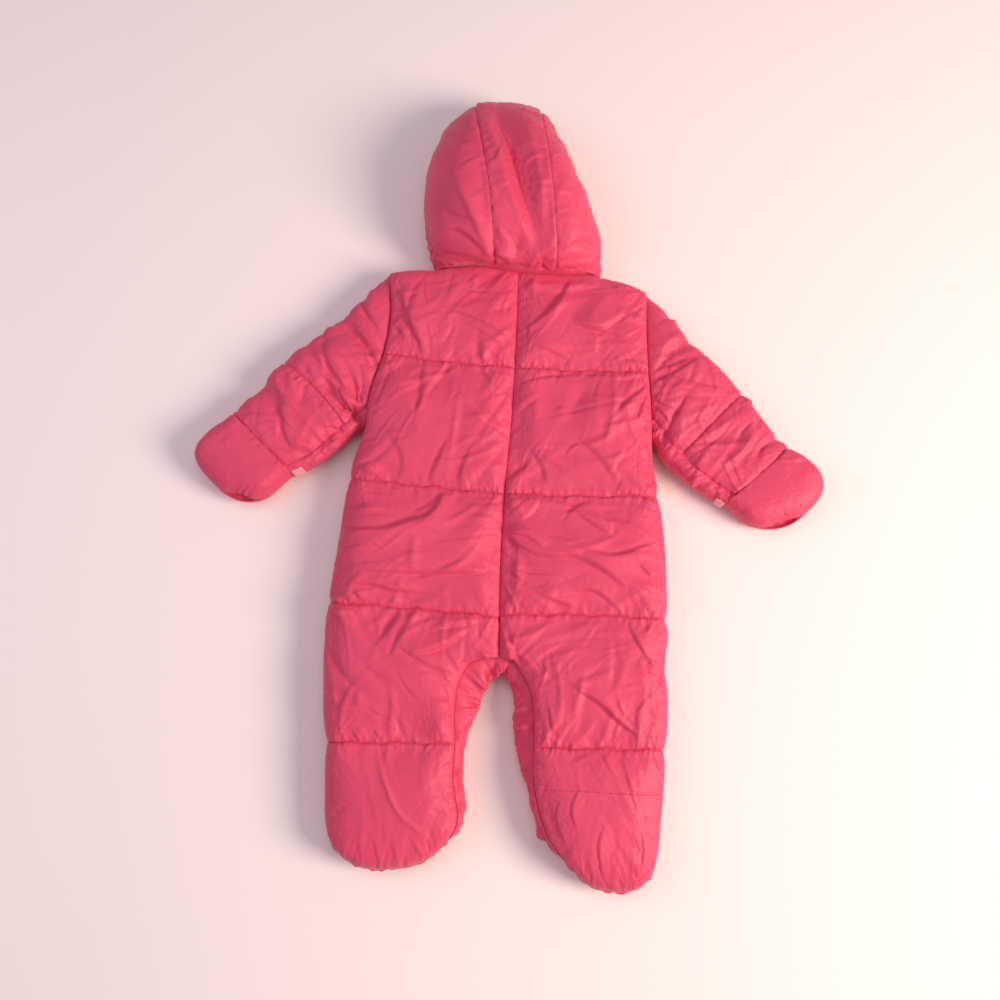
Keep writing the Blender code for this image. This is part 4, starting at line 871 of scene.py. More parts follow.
def on_plane(name, outer, z, material):
    """A padded piece on a plane: its outer grid, a rim down to height z and a flat face."""
    rows, cols = outer.shape[:2]
    rim = border(rows, cols)
    verts = outer.reshape(-1, 3)
    flat = verts[rim].copy()
    flat[:, 2] = z
    count = len(rim)
    first = len(verts)
    turn = np.arange(count)
    after = (turn + 1) % count
    sides = np.stack([rim, rim[after], first + after, first + turn], axis=1)
    faces = grid_faces(rows, cols, turned=True).tolist() + sides.tolist()
    faces.append((first + turn[::-1]).tolist())
    return outward(make_mesh(name, np.concatenate([verts, flat]), faces, material))


def walled(name, outer, inner, material):
    """A padded piece with an outer and an inner grid of the same size, and a rim between them."""
    rows, cols = outer.shape[:2]
    first = rows * cols
    rim = border(rows, cols)
    after = np.roll(rim, -1)
    sides = np.stack([rim, after, first + after, first + rim], axis=1)
    faces = np.concatenate([grid_faces(rows, cols, turned=True), sides,
                            grid_faces(rows, cols, first=first)])
    verts = np.concatenate([outer.reshape(-1, 3), inner.reshape(-1, 3)])
    return outward(make_mesh(name, verts, faces.tolist(), material))


def tube(name, outer, inner, material):
    """A padded tube: an outer grid that closes on itself, an inner one with as many columns but
    few rows, and a rim at each end."""
    rows, cols = outer.shape[:2]
    deep = len(inner)
    first = rows * cols
    c = np.arange(cols)
    right = (c + 1) % cols
    near = np.stack([c, right, first + right, first + c], axis=1)
    last = (rows - 1) * cols
    last_in = first + (deep - 1) * cols
    far = np.stack([last + right, last + c, last_in + c, last_in + right], axis=1)
    faces = np.concatenate([grid_faces(rows, cols, True, turned=True), near, far,
                            grid_faces(deep, cols, True, first)])
    verts = np.concatenate([outer.reshape(-1, 3), inner.reshape(-1, 3)])
    return outward(make_mesh(name, verts, faces.tolist(), material))


# ---- the cloth simulation ----
SIM_SCALE = 0.01        # one simulated unit for each 100 mm, a size that the solver handles well
SIM_FRAMES = 18
SIM_CAP = 7.0           # farthest that the simulation may carry a point, mm
LEVELS = 24             # steps in which the simulation's weights are stored
HELD_LOOSE = 2.2 / LEVELS     # how firmly the cloth is held between its seams
SLACK_REACH = 14.0      # how far from a seam the cloth is gathered up, mm
SIM_NOISE = 0.12        # unevenness from which it starts to buckle, mm
NYLON_CLOTH = {
    "quality": 5, "mass": 0.25, "tension_stiffness": 20, "compression_stiffness": 20,
    "shear_stiffness": 8, "bending_stiffness": 0.12, "air_damping": 2, "pin_stiffness": 1.0,
    "shrink_min": 0.0, "shrink_max": -0.16, "use_pressure": True, "uniform_pressure_force": 0.25,
}

Sheet = namedtuple("Sheet", "grid held slack inside closed", defaults=(False,))
SHEETS = {}             # name -> Sheet, waiting for the simulation
SETTLED = {}            # name -> grid, after it


def add_weights(piece, name, weights):
    """A vertex group with the given weights, stored in a few even steps."""
    group = piece.vertex_groups.new(name=name)
    level = np.rint(weights.ravel() * LEVELS).astype(int)
    for step in range(1, LEVELS + 1):
        chosen = np.flatnonzero(level == step)
        if len(chosen):
            group.add(chosen.tolist(), step / LEVELS, "REPLACE")
    return group.name


def add_cloth(piece, sheet):
    """Blender's cloth on a sheet: held at its seams, pressed out by its padding, a little long."""
    cloth = piece.modifiers.new("settle", "CLOTH")
    for name, value in NYLON_CLOTH.items():
        setattr(cloth.settings, name, value)
    cloth.settings.vertex_group_mass = add_weights(piece, "held", sheet.held)
    cloth.settings.vertex_group_shrink = add_weights(piece, "slack", sheet.slack)
    cloth.settings.effector_weights.gravity = 0
    cloth.collision_settings.use_collision = False
    cloth.point_cache.frame_start = 1
    cloth.point_cache.frame_end = SIM_FRAMES


def settle():
    """Runs all waiting sheets through the simulation together, and keeps where they end."""
    scene = bpy.context.scene
    random = np.random.RandomState(7)
    pieces = {}
    for name, sheet in SHEETS.items():
        rows, cols = sheet.grid.shape[:2]
        normal = normals(sheet.grid, sheet.inside, sheet.closed)
        noise = random.normal(0, SIM_NOISE, (rows, cols, 1)) * (1 - sheet.held[..., None])
        start = (sheet.grid + normal * noise) * SIM_SCALE
        mesh = bpy.data.meshes.new(name + "_sheet")
        mesh.from_pydata(start.reshape(-1, 3).tolist(), [],
                         grid_faces(rows, cols, sheet.closed).tolist())
        mesh.update()
        face = mesh.polygons[len(mesh.polygons) // 2]
        if face.normal.dot(normal.reshape(-1, 3)[face.vertices[0]]) < 0:
            mesh.flip_normals()
        piece = bpy.data.objects.new(name + "_sheet", mesh)
        scene.collection.objects.link(piece)
        add_cloth(piece, sheet)
        pieces[name] = piece
    for number in range(1, SIM_FRAMES + 1):
        scene.frame_set(number)
    graph = bpy.context.evaluated_depsgraph_get()
    for name, piece in pieces.items():
        sheet = SHEETS[name]
        places = np.empty(sheet.grid.size)
        piece.evaluated_get(graph).data.vertices.foreach_get("co", places)
        move = places.reshape(sheet.grid.shape) / SIM_SCALE - sheet.grid
        far = np.linalg.norm(move, axis=-1, keepdims=True)
        move *= np.minimum(1, SIM_CAP / np.maximum(far, 1e-6))
        SETTLED[name] = sheet.grid + move
        mesh = piece.data
        bpy.data.objects.remove(piece)
        bpy.data.meshes.remove(mesh)
    scene.frame_set(1)


def weights(to_seam, to_quilt):
    """How firmly each point is held, and how much spare length the cloth has there."""
    held = np.full(to_seam.shape, HELD_LOOSE)
    held[to_quilt < 0.05] = 1.0
    held[to_seam < 0.05] = 1.0
    near = np.exp(-np.minimum(to_seam, to_quilt) / SLACK_REACH)
    return held, 0.25 + 0.75 * near


# ---- body ----
def edge(sections, name, seam):
    """An edge's place in each section: where that gives no x, it lies on the seam's curve."""
    places = [(getattr(s, name + "_x"), getattr(s, name + "_y")) for s in sections]
    return np.array([(float(through(seam, y)) if x is None else x, y) for x, y in places], float)


def mean_length(one, other):
    """Distances along the middle between two edges, from row to row."""
    return summed((steps_of(one) + steps_of(other)) / 2)


class Half:
    """The plan of one half of the suit, from the neck to the toes, that its back and front share.
    Rows run from the neck to the toes, and columns from the centre or inner leg to the side."""

    def __init__(self, side, step, columns):
        sections = LEFT_SECTIONS if side < 0 else RIGHT_SECTIONS
        inner = edge(sections, "inner", CENTRE_BACK)
        outer = edge(sections, "outer", ARMHOLE[side])
        key = mean_length(inner, outer)
        names = [s.name for s in sections]
        fork = names.index("fork")
        underarm = names.index("underarm")
        quilt_keys = [k for k, s in zip(key, sections) if s.quilted]
        stops = sorted([key[0], key[underarm], key[fork], *quilt_keys, key[-1]])
        rows = evenly(stops, step)
        self.rows = rows
        self.fork_row = int(np.argmin(np.abs(rows - key[fork])))
        on_torso = rows <= key[fork] + 1e-6

        def along(values, part=slice(None)):
            return through(np.column_stack([key, values])[part], rows)

        leg = slice(fork, None)
        in_y = np.where(on_torso, along(inner[:, 1], slice(fork + 1)), along(inner[:, 1], leg))
        in_x = np.where(on_torso, centre_back(in_y), along(inner[:, 0], leg))
        out_x, out_y = along(outer[:, 0]), along(outer[:, 1])
        self.at_armhole = out_y >= sections[underarm].outer_y
        out_x = np.where(self.at_armhole, through(ARMHOLE[side], out_y), out_x)
        in_x = in_x + side * SEAM_GAP / 2
        u = columns[None, :]
        self.u = columns
        x = in_x[:, None] + (out_x - in_x)[:, None] * u
        straight = in_y[:, None] + (out_y - in_y)[:, None] * u
        sag = along([s.sag for s in sections[:-1]] + [0])
        y = straight + sag[:, None] * 4 * u * (1 - u)
        top_share = limited(1 - rows / key[1])[:, None]
        y = y + top_share * (top_edge(x[:1]) - y[:1])
        toe_share = limited((rows - key[-2]) / (key[-1] - key[-2]))[:, None] ** 1.5
        y = y + toe_share * sections[-1].sag * toe_end(u)
        self.quilt_keys = quilt_keys
        self.to_quilt = np.abs([rows - k for k in quilt_keys]).min(axis=0)[:, None] + 0 * x
        # the quilting lines aren't quite straight
        down = rows[:, None]
        wobble = sum(far * np.sin(x / wide + down / long) for far, wide, long in QUILT_WOBBLE)
        y = y + wobble * bell(self.to_quilt / 12) * limited(8 * u * (1 - u))
        # the foot's two corners are rounded off
        x = x + side * TOE_CORNER * toe_share**1.6 * (1 - 2 * u) * np.abs(2 * u - 1)
        notch = QUILT_NOTCH * bell(self.to_quilt / 7) * (~self.at_armhole[:, None])
        x = x - side * notch * limited((u - 0.8) / 0.2)
        self.x = x
        self.y = y
        self.crown = along([s.crown for s in sections])[:, None]
        self.outer_z = np.interp(rows, key, [s.outer_z for s in sections])[:, None]
        self.from_inner = np.abs(x - x[:, :1])
        self.from_outer = np.abs(x - x[:, -1:])
        self.from_top = np.abs(y[:1] - y)
        self.from_toe = np.abs(y - y[-1:])
        self.on_leg = ~on_torso[:, None]
        strip = [(k, s.strip_x, s.strip_y) for k, s in zip(key, sections) if s.strip_x is not None]
        self.strip = through(strip, rows[self.fork_row:])

    def to_seam(self):
        ends = np.minimum(self.from_top, self.from_toe)
        return np.minimum(np.minimum(self.from_inner, self.from_outer), ends)

    def in_neck(self):
        """How far inside the neck's ends each column's top is, along the hood's seam."""
        return np.minimum(self.x[:1] - NECK[0], NECK[1] - self.x[:1])

    def back_top(self):
        """Height of the back's outer face: its crown less the slopes into its seams and lines."""
        crown = self.crown
        inner_z = np.where(self.on_leg, LEG_SEAM, CENTRE_SEAM)
        rise = np.sqrt(1 - (1 - limited(self.in_neck() / 60)) ** 2)
        top_z = BACK_SEAM + (NECK_SEAM - 1.5 - BACK_SEAM) * rise
        drop = blended(
            (crown - self.outer_z) * round_roll(self.from_outer, SIDE_ROLL),
            (crown - inner_z) * soft_roll(self.from_inner, SEAM_ROLL),
            (crown - top_z) * round_roll(self.from_top, SEAM_ROLL),
            (crown - BACK_SEAM) * round_roll(self.from_toe, SIDE_ROLL),
            look().quilt_depth / MM * soft_roll(self.to_quilt, QUILT_ROLL))
        return np.maximum(crown - drop, LAYER + MIN_WALL)

    def front_bottom(self):
        """Height of the front's outer face, which lies flat on the surface."""
        side_z = np.where(self.at_armhole[:, None], FRONT_LOW, FRONT_SEAM)
        inner_z = np.where(self.on_leg, FRONT_LEG_SEAM,
                           np.where(self.y[:, :1] > ZIP_BOTTOM, ZIP_EDGE, FRONT_CENTRE))
        top_z = FRONT_SEAM + (FRONT_LOW - FRONT_SEAM) * limited(self.in_neck() / 10 + 0.5)
        rise = blended(
            side_z * round_roll(self.from_outer, FRONT_ROLL),
            inner_z * round_roll(self.from_inner, FRONT_EDGE),
            top_z * round_roll(self.from_top, FRONT_EDGE),
            FRONT_SEAM * round_roll(self.from_toe, FRONT_ROLL))
        return np.minimum(rise, LAYER - MIN_WALL)


@cache
def half(side):
    return Half(side, FINE, eased(64, 0.5))


def label(side):
    return "left" if side < 0 else "right"


def plan_back(side):
    """Readies a back for the simulation: its plan, with the heights of its outer face."""
    plan = half(side)
    held, slack = weights(plan.to_seam(), plan.to_quilt)
    grid = points(plan.x, plan.y, plan.back_top())
    SHEETS[f"back_{label(side)}"] = Sheet(grid, held, slack, below(grid))


def detail_back(side, grid):
    """The settled back, doubled, with the puckers along its lines and seams."""
    plan = half(side)
    grid = finer(grid)
    inner, outer, toe, row, seam, x, y = finer_maps(
        plan.from_inner, plan.from_outer, plan.from_toe, plan.rows[:, None], plan.to_seam(),
        plan.x, plan.y)
    lift = np.zeros_like(inner)
    to_quilt = np.full_like(inner, 99.0)
    for number, key in enumerate(plan.quilt_keys):
        over = row - key
        to_quilt = np.minimum(to_quilt, np.abs(over))
        for kind in BACK_PUCKERS:
            lift += puckers(inner, over, kind, 100 * (side + 2) + number)
    lift += puckers(row, inner, CENTRE_PUCKERS, side)
    on_leg = limited((LEG_START - y) / 20)
    lift += on_leg * puckers(row, inner, LEG_PUCKERS, side)
    lift += puckers(row, outer, SIDE_PUCKERS, side)
    lift += puckers(inner, toe, TOE_PUCKERS, side)
    lift += 2.0 * (gathered(inner, 5.0, 14.0, 56 + side) - 0.5) * bell(toe / 9)
    lift -= 0.4 * np.exp(-to_quilt / 1.3)
    if side > 0:
        path = np.array(SHALLOW_LINE, float)
        line_y = np.interp(x, path[:, 0], path[:, 1])
        lift -= 0.8 * bell((y - line_y) / 1.4)
        lift += puckers(x, y - line_y, SHALLOW_PUCKERS)
    above_foot = 0.3 + 0.7 * limited((y - FOOT_START) / 40)
    small = above_foot * crumpled(x, y, BACK_FOLDS, side, back_heading(side))
    folds = 1.4 * creased(BACK_CREASES, x, y) + 1.25 * small
    lift += folds * limited(seam / 8) * np.clip(to_quilt / 8, 0.1, 1)
    lift *= limited(seam / 2.5)
    return grid + normals(grid, below(grid)) * lift[..., None]


def back_heading(side):
    """Mean direction of the folds on a back: diagonal on the chest, across at the waist, towards
    the crotch on the seat, and along the leg and foot."""
    # y in mm, then the direction and its spread in degrees
    rows = ((-350, 95, 30), (-240, 90, 40), (-160, 90 - 40 * side, 35), (-100, -15 * side, 28),
            (-20, -8 * side, 22), (40, 30, 35), (120, 60, 45), (235, 45, 45))
    return lambda y: through(rows, y)


# ---- sleeves ----
def superellipse(angle):
    """Shares of the half width and half height at an angle round a squarish oval."""
    power = 2 / SLEEVE_ROUND
    return (np.sign(np.cos(angle)) * np.abs(np.cos(angle)) ** power,
            np.sign(np.sin(angle)) * np.abs(np.sin(angle)) ** power)


def ring_angles(seam, count):
    """Angles once round a sleeve from its seam, spaced between evenly by length and by turn."""
    dense = np.linspace(seam, seam - 2 * math.pi, 1441)
    lateral, vertical = superellipse(dense)
    steps = np.hypot(np.diff(lateral) * 60, np.diff(vertical) * SLEEVE_MIDDLE)
    length = summed(steps)
    place = 0.8 * length / length[-1] + 0.2 * np.linspace(0, 1, len(dense))
    return np.interp(np.linspace(0, 1, count + 1)[:-1], place, dense)


class Sleeve:
    """A sleeve as rings from the armhole to the wrist. A ring starts at the underarm seam and runs
    round the lower edge, the underside, the head edge and the top."""

    def __init__(self, side, count=124):
        sections = SLEEVES[side]
        armhole = ARMHOLE[side]
        head = edge(sections, "head", armhole)
        under = edge(sections, "under", armhole)
        key = mean_length(head, under)
        stops = [0] + [k for k, s in zip(key, sections) if s.quilted]
        rows = evenly(stops, FINE)
        head, under, crown = (through(np.column_stack([key, values]), rows)
                              for values in (head, under, [s.crown for s in sections]))
        angle = ring_angles(math.radians(UNDERARM_SEAM[side]), count)
        lateral, vertical = superellipse(angle)
        turn = np.arange(count) / count
        width = np.linalg.norm(under - head, axis=1)[:, None]
        share = (0.5 + 0.5 * lateral)[None, :]
        chord = head[:, None] + (under - head)[:, None] * share[..., None]
        at_armhole = limited(1 - rows / ARMHOLE_REACH)[:, None] ** 2
        bend = through(armhole, chord[0, :, 1])[None, :] - chord[:1, :, 0]
        gap = side * CURVE_GAP * (rows[:, None] == 0)
        bowed = ELBOW_BOW[side] * bell((rows - stops[1]) / 32)
        bowed = (bowed * limited(rows / 20))[:, None] * (4 * share * (1 - share))
        x = chord[..., 0] + at_armhole * bend + gap - side * 0.7 * bowed
        y = chord[..., 1] + 0.7 * bowed
        self.quilt_keys = stops[1:]
        self.to_quilt = np.abs([rows - k for k in stops[1:]]).min(axis=0)[:, None] + 0 * x
        depth = [SLEEVE_QUILT[side], WRIST_QUILT]
        depth = np.interp(rows, [rows[-1] - 30, rows[-1]], depth)[:, None]
        along, off, length = follow(CAP_QUILTING[side], x, y)
        self.cap = soft_roll(np.abs(off), CAP_ROLL) * np.sin(math.pi * (0.1 + 0.8 * along / length))
        turned = (angle + math.pi) % (2 * math.pi) - math.pi
        under_strip = (turned < angle[0]) & (turned > -0.5 * math.pi)
        self.quilted = np.where(under_strip, 0.2, 1.0)[None, :] + 0 * x
        drop = blended(CAP_SEAM * soft_roll(rows, SEAM_ROLL)[:, None] + 0 * x,
                       depth * soft_roll(self.to_quilt, SLEEVE_ROLL) * self.quilted,
                       CAP_QUILT * self.cap)
        self.from_seam = np.minimum(turn, 1 - turn)[None, :] * width * 2.4 + 0 * x
        seam_drop = UNDERARM_DIP * bell(self.from_seam / 6)
        drop = (drop + seam_drop) * limited(1 + 1.5 * np.sin(angle))[None, :]
        across = (under - head) / width
        inward = drop * np.cos(angle)[None, :] * EDGE_PULL * (rows[:, None] > 0)
        x_out = x - inward * across[:, None, 0]
        y_out = y - inward * across[:, None, 1]
        top = crown[:, None] - SLEEVE_MIDDLE
        z_out = SLEEVE_MIDDLE + np.where(vertical > 0, top, SLEEVE_MIDDLE + 0.6) * vertical
        z_out = np.maximum(z_out - drop * limited(vertical), 0)
        self.grid = points(x_out, y_out, z_out)
        self.rows = rows
        self.angle = angle
        # the flat inside, which only shows that the sleeve is a tube
        squeezed = np.sign(lateral) * np.minimum(np.abs(lateral), 0.72)
        share_in = (0.5 + 0.5 * squeezed)[None, :]
        few = np.linspace(0, len(rows) - 1, 9).astype(int)
        x_in = head[few, None, 0] + (under - head)[few, None, 0] * share_in
        y_in = head[few, None, 1] + (under - head)[few, None, 1] * share_in
        reach = at_armhole[few] * (through(armhole, y_in[0])[None, :] - x_in[:1])
        z_in = LAYER + 0.3 * np.sign(np.sin(angle))[None, :] * np.abs(np.sin(angle)) ** 0.3
        self.inside = points(x_in + reach + gap[few], y_in, z_in)


@cache
def sleeve(side):
    return Sleeve(side)


def plan_sleeve(side):
    """Readies a sleeve for the simulation: its rings, held where it lies on the surface."""
    plan = sleeve(side)
    to_end = np.minimum(plan.rows, plan.rows[-1] - plan.rows)[:, None] + 0 * plan.from_seam
    to_line = np.minimum(plan.to_quilt, 12 * (1 - limited(plan.cap)))
    held, slack = weights(np.minimum(to_end, plan.from_seam), to_line)
    # the underside rests on the surface
    resting = limited(-np.sin(plan.angle) * 4)[None, :]
    held = np.maximum(held, resting)
    slack = slack * (1 - resting)
    inside = plan.grid.mean(axis=(0, 1))
    SHEETS[f"sleeve_{label(side)}"] = Sheet(plan.grid, held, slack, inside, True)


def detail_sleeve(side, grid):
    """The settled sleeve, doubled, with the puckers along its lines and seam and its folds."""
    plan = sleeve(side)
    grid = finer(grid, True)
    seam, row, quilted = finer_maps(plan.from_seam, plan.rows[:, None], plan.quilted, closed=True)
    share = np.arange(grid.shape[1])[None, :] / grid.shape[1] + 0 * row
    girth = share * SLEEVE_GIRTH
    sine = np.sin(np.interp(share, np.arange(len(plan.angle)) / len(plan.angle), plan.angle))
    above = limited(sine * 3 + 0.35)
    beside = limited(1 - ((sine + 0.5) / 0.45) ** 2)
    lift = np.zeros_like(row)
    to_quilt = np.full_like(row, 99.0)
    for number, key in enumerate(plan.quilt_keys):
        over = row - key
        to_quilt = np.minimum(to_quilt, np.abs(over))
        for kind in SLEEVE_PUCKERS:
            lift += quilted * puckers(girth, over, kind, 10 * side + number)
    lift += puckers(girth, row, ARMHOLE_PUCKERS, side)
    signed = np.where(share < 0.5, seam, -seam)
    lift += puckers(row, signed, UNDERARM_PUCKERS[side], side)
    lift -= 0.4 * quilted * np.exp(-to_quilt / 1.3) + 1.2 * bell(seam / 1.6)
    # the strip under the arm is drawn up into small folds across it
    strip = (1 - quilted) * limited(seam / 3) * bell(seam / 16)
    tall = 1.6 + side
    lift += tall * strip * (gathered(row + 0.4 * seam, 5.0, 13.0, 250 + side) - 0.5)
    x, y = grid[..., 0], grid[..., 1]
    along, off, length = follow(CAP_QUILTING[side], x, y)
    inside = limited(np.minimum(along, length - along) / 6)
    lift += inside * puckers(along, off, CAP_PUCKERS, side)
    lift -= 0.5 * inside * np.exp(-np.abs(off) / 1.3)
    folds = crumpled(x, y, SLEEVE_FOLDS, side, lambda y: (45.0 * side, 32.0))
    folds *= 1.2 * limited(1.5 * above - 0.5)
    folds += 1.15 * creased(SLEEVE_CREASES[side], x, y) + dented(SLEEVE_DENTS[side], x, y)
    folds *= np.clip(row / 12, 0.1, 1)
    lift += folds * np.clip(np.minimum(to_quilt, np.abs(off) + 4) / 8, 0.1, 1)
    lift *= above
    lift += beside * crumpled(row, girth, SLEEVE_SIDE_FOLDS, side)
    lift *= limited(np.minimum(row, row.max() - row) / 2.5)
    return grid + normals(grid, grid.mean(axis=(0, 1)), True) * lift[..., None]


# ---- mitts ----
MITT_ROWS = 1 - np.linspace(1, 0, 30) ** 1.4
MITT_COLUMNS = eased(40, 0.8)


def mitt_plan(side, drawn=0.0):
    """Plan of a mitt, straight beside the wrist and then with a rounded end, and how far its
    points are from its sides, its wrist and its tip."""
    wrist = SLEEVES[side][-1]
    head = np.array([wrist.head_x, wrist.head_y], float)
    under = np.array([wrist.under_x, wrist.under_y], float)
    mitt = MITTS[side]
    width = np.linalg.norm(under - head)
    across = (under - head) / width
    ahead = np.array([across[1], -across[0]]) * -side
    ahead = ahead * np.sign(ahead[0] * side)
    v = MITT_ROWS[:, None]
    u = MITT_COLUMNS[None, :]
    end = round_end(u, mitt)
    reach = v * (mitt.straight + (mitt.length - mitt.straight) * end)
    place, wide = MITT_GATHER[side]
    reach = reach - drawn * bell((u - place) / wide) * v**3
    grown = 1 - np.exp(-reach / 14)
    spread = width / 2 - WRIST_PULL + (mitt.widen + WRIST_PULL) * grown
    middle = mitt.shift * grown
    sideways = (2 * u - 1) * spread + middle
    start = (head + under) / 2
    x = start[0] + across[0] * sideways + ahead[0] * (reach + WRIST_GAP)
    y = start[1] + across[1] * sideways + ahead[1] * (reach + WRIST_GAP)
    return x, y, u * (1 - u) * 2 * width, reach, (1 - v) * mitt.length * (0.25 + 0.75 * end)


def plan_mitt(side):
    """Readies a mitt: its crown, less round slopes into its sides, tip and wrist."""
    x, y, from_side, from_wrist, from_tip = mitt_plan(side, MITT_DRAWN)
    drop = blended((MITT_CROWN - BACK_SEAM) * round_roll(from_side, MITT_SIDE_ROLL),
                   (MITT_CROWN - BACK_SEAM) * round_roll(from_tip, MITT_TIP_ROLL),
                   (MITT_CROWN - MITT_WRIST) * soft_roll(from_wrist, MITT_WRIST_ROLL))
    top = np.maximum(MITT_CROWN - drop, LAYER + MIN_WALL)
    seam = np.minimum(np.minimum(from_side, from_tip), from_wrist) + 0 * x
    held, slack = weights(seam, 99 + 0 * x)
    grid = points(x, y, top)
    SHEETS[f"mitt_back_{label(side)}"] = Sheet(grid, held, slack, below(grid))


def detail_mitt(side, grid):
    """The settled back of a mitt, doubled, with its creases and a few crumples."""
    grid = finer(grid)
    x, y = grid[..., 0], grid[..., 1]
    lift = creased(MITT_CREASES[side], x, y)
    share, = finer_maps(MITT_COLUMNS[None, :] + 0 * x[::2, ::2])
    low = np.linspace(1, 0, len(grid))[:, None] ** 1.4 + 0 * x
    place, wide = MITT_GATHER[side]
    near = bell((share - place) / wide) * bell(low * 60 / 13)
    lift += 3.6 * near * (gathered(share * 80, 3.0, 8.0, 270 + side) - 0.6)
    at_tip = bell(low * 60 / 5)
    lift += 0.8 * (gathered(share * 120, 6.0, 14.0, 276 + side) - 0.5) * at_tip
    lift += puckers(share * 90, (1 - low) * 60, MITT_PUCKERS, side)
    lift += crumpled(x, y, MITT_FOLDS, side)
    seam = np.minimum(low, 1 - low) * 60
    high = limited((grid[..., 2] - BACK_SEAM) / 3) * limited(seam / 1.5)
    return grid + normals(grid, below(grid)) * (lift * high)[..., None]


def palm_grids(side):
    """The underside of a palm, and its upper side, hollowed where the mitt's end is drawn in."""
    x, y, from_side, from_wrist, from_tip = mitt_plan(side)
    columns = MITT_COLUMNS[None, :]
    rise = blended(FRONT_SEAM * round_roll(from_side, PALM_SIDE_ROLL),
                   FRONT_SEAM * round_roll(from_tip, PALM_TIP_ROLL),
                   soft_roll(from_wrist, PALM_WRIST_ROLL))
    low = np.minimum(rise, LAYER - MIN_WALL)
    place, wide = MITT_GATHER[side]
    near = bell((columns - place) / wide) * bell((from_tip - 4.4) / 2.6)
    folded = 0.5 + 0.5 * gathered(columns * 80 + 0 * x, 3.0, 7.0, 290 + side)
    high = np.maximum(LAYER - SEAM_GAP / 2 - MITT_HOLLOW * near * folded, low + 0.8)
    return finer(points(x, y, low)), finer(points(x, y, high))


# ---- hood ----
def hood_keys(count):
    """Places along the hood's sections, evenly spaced along its middle."""
    dense = np.linspace(0, len(HOOD) - 1, 401)
    middle = through([(k, s.y, s.crown) for k, s in enumerate(HOOD)], dense)
    length = summed(steps_of(middle))
    return np.interp(np.linspace(0, length[-1], count), length, dense)


class Hood:
    """The whole hood, rows from its front edge to the neck, columns from the left edge over the
    crown to the right edge. Each side is an elliptic arch that rolls under at its edge, and the
    middle strip is bowed between the two seams."""

    def __init__(self, rows=96, arch=34, strip=26):
        key = np.arange(len(HOOD), dtype=float)
        keys = hood_keys(rows)
        at = through(np.column_stack([key, np.array([s[1:] for s in HOOD], float)]), keys)
        left, seam_l, seam_r, right = at[:, 0:2], at[:, 2:4], at[:, 4:6], at[:, 6:8]
        mid_y, crown = at[:, 8], at[:, 9]
        seam_z = crown - np.interp(keys, *HOOD_SEAM_DROP)
        widest = np.maximum(np.minimum(0.32 * seam_z, 25.0), np.interp(keys, *HOOD_NAPE))
        arc = np.radians(np.linspace(-RING_ANGLE, 90, arch))
        across = np.linspace(0, 1, strip)

        def side_arch(rim, seam):
            reach = (1 - np.cos(arc))[None, :, None]
            plan = rim[:, None] + (seam - rim)[:, None] * reach
            low = widest[:, None] * (1 + np.sin(arc) / math.sin(math.radians(RING_ANGLE)))[None, :]
            high = widest[:, None] + (seam_z - widest)[:, None] * np.sin(arc)[None, :]
            z = np.where(arc[None, :] < 0, low, high)
            return np.concatenate([plan, z[..., None]], axis=-1)

        bow = 4 * across * (1 - across)
        x = seam_l[:, :1] + (seam_r - seam_l)[:, :1] * across[None, :]
        line_y = seam_l[:, 1:] + (seam_r - seam_l)[:, 1:] * across[None, :]
        bow_y = mid_y - (seam_l[:, 1] + seam_r[:, 1]) / 2
        y = line_y + bow_y[:, None] * bow[None, :]
        z = seam_z[:, None] + (crown - seam_z)[:, None] * bow[None, :]
        middle = points(x, y, z)
        base = np.concatenate([side_arch(left, seam_l), middle[:, 1:-1],
                               side_arch(right, seam_r)[:, ::-1]], axis=1)
        base[-1, :, 1] = top_edge(base[-1, :, 0]) + CURVE_GAP
        self.seams = (arch - 1, arch + strip - 2)

        normal = normals(base, HOOD_MIDDLE)
        inner = base - normal * HOOD_WALL
        towards = np.array([*HOOD_HOLLOW, 0.0]) - base * [1, 1, 0]
        upright = base + towards / np.linalg.norm(towards, axis=-1, keepdims=True) * HOOD_WALL
        front = limited(2 - keys)[:, None, None]
        inner = inner + (upright - inner) * front
        inner[:, 0, 2] = 0
        inner[:, -1, 2] = 0
        last = inner[-1].copy()
        last[:, 1] = top_edge(last[:, 0]) + CURVE_GAP
        last[:, 2] = base[-1, :, 2] * (1 - HOOD_WALL / base[-1, :, 2].max())
        turn = int(np.searchsorted(keys, HOOD_TURN))
        share = limited((keys - keys[turn]) / (keys[-1] - keys[turn]))[:, None, None]
        inner = np.where(share > 0, inner[turn] + share * (last - inner[turn]), inner)
        inner[..., 2] = np.maximum(inner[..., 2], 0)
        self.inner = inner

        spread = np.linalg.norm(np.diff(base, axis=1), axis=-1)
        length = np.concatenate([np.zeros((len(base), 1)), np.cumsum(spread, axis=1)], axis=1)
        self.over_seams = [length - length[:, s:s + 1] for s in self.seams]
        self.to_seam = np.abs(self.over_seams).min(axis=0)
        down = summed(steps_of(middle[:, 0]))
        self.down = down[:, None] + 0 * self.to_seam
        away = limited(keys / 2)[:, None]
        drop = HOOD_SEAM * soft_roll(self.to_seam, 14.0)
        move = -drop * away * limited(base[..., 2] / 30)
        move *= limited((down[-1] - self.down) / 8)
        self.outer = base + normal * move[..., None]
        self.outer[..., 2] = np.maximum(self.outer[..., 2], 0)
        self.length = length


@cache
def hood():
    return Hood()


def hood_cut(name):
    """First and last column of one of the hood's three pieces, and the way each end draws back."""
    whole = hood()
    a, b = whole.seams
    last = whole.outer.shape[1] - 1
    cuts = ((0, a, 0, -1), (a, b, 1, -1), (b, last, 1, 0))
    return cuts[HOOD_PIECES.index(name)]


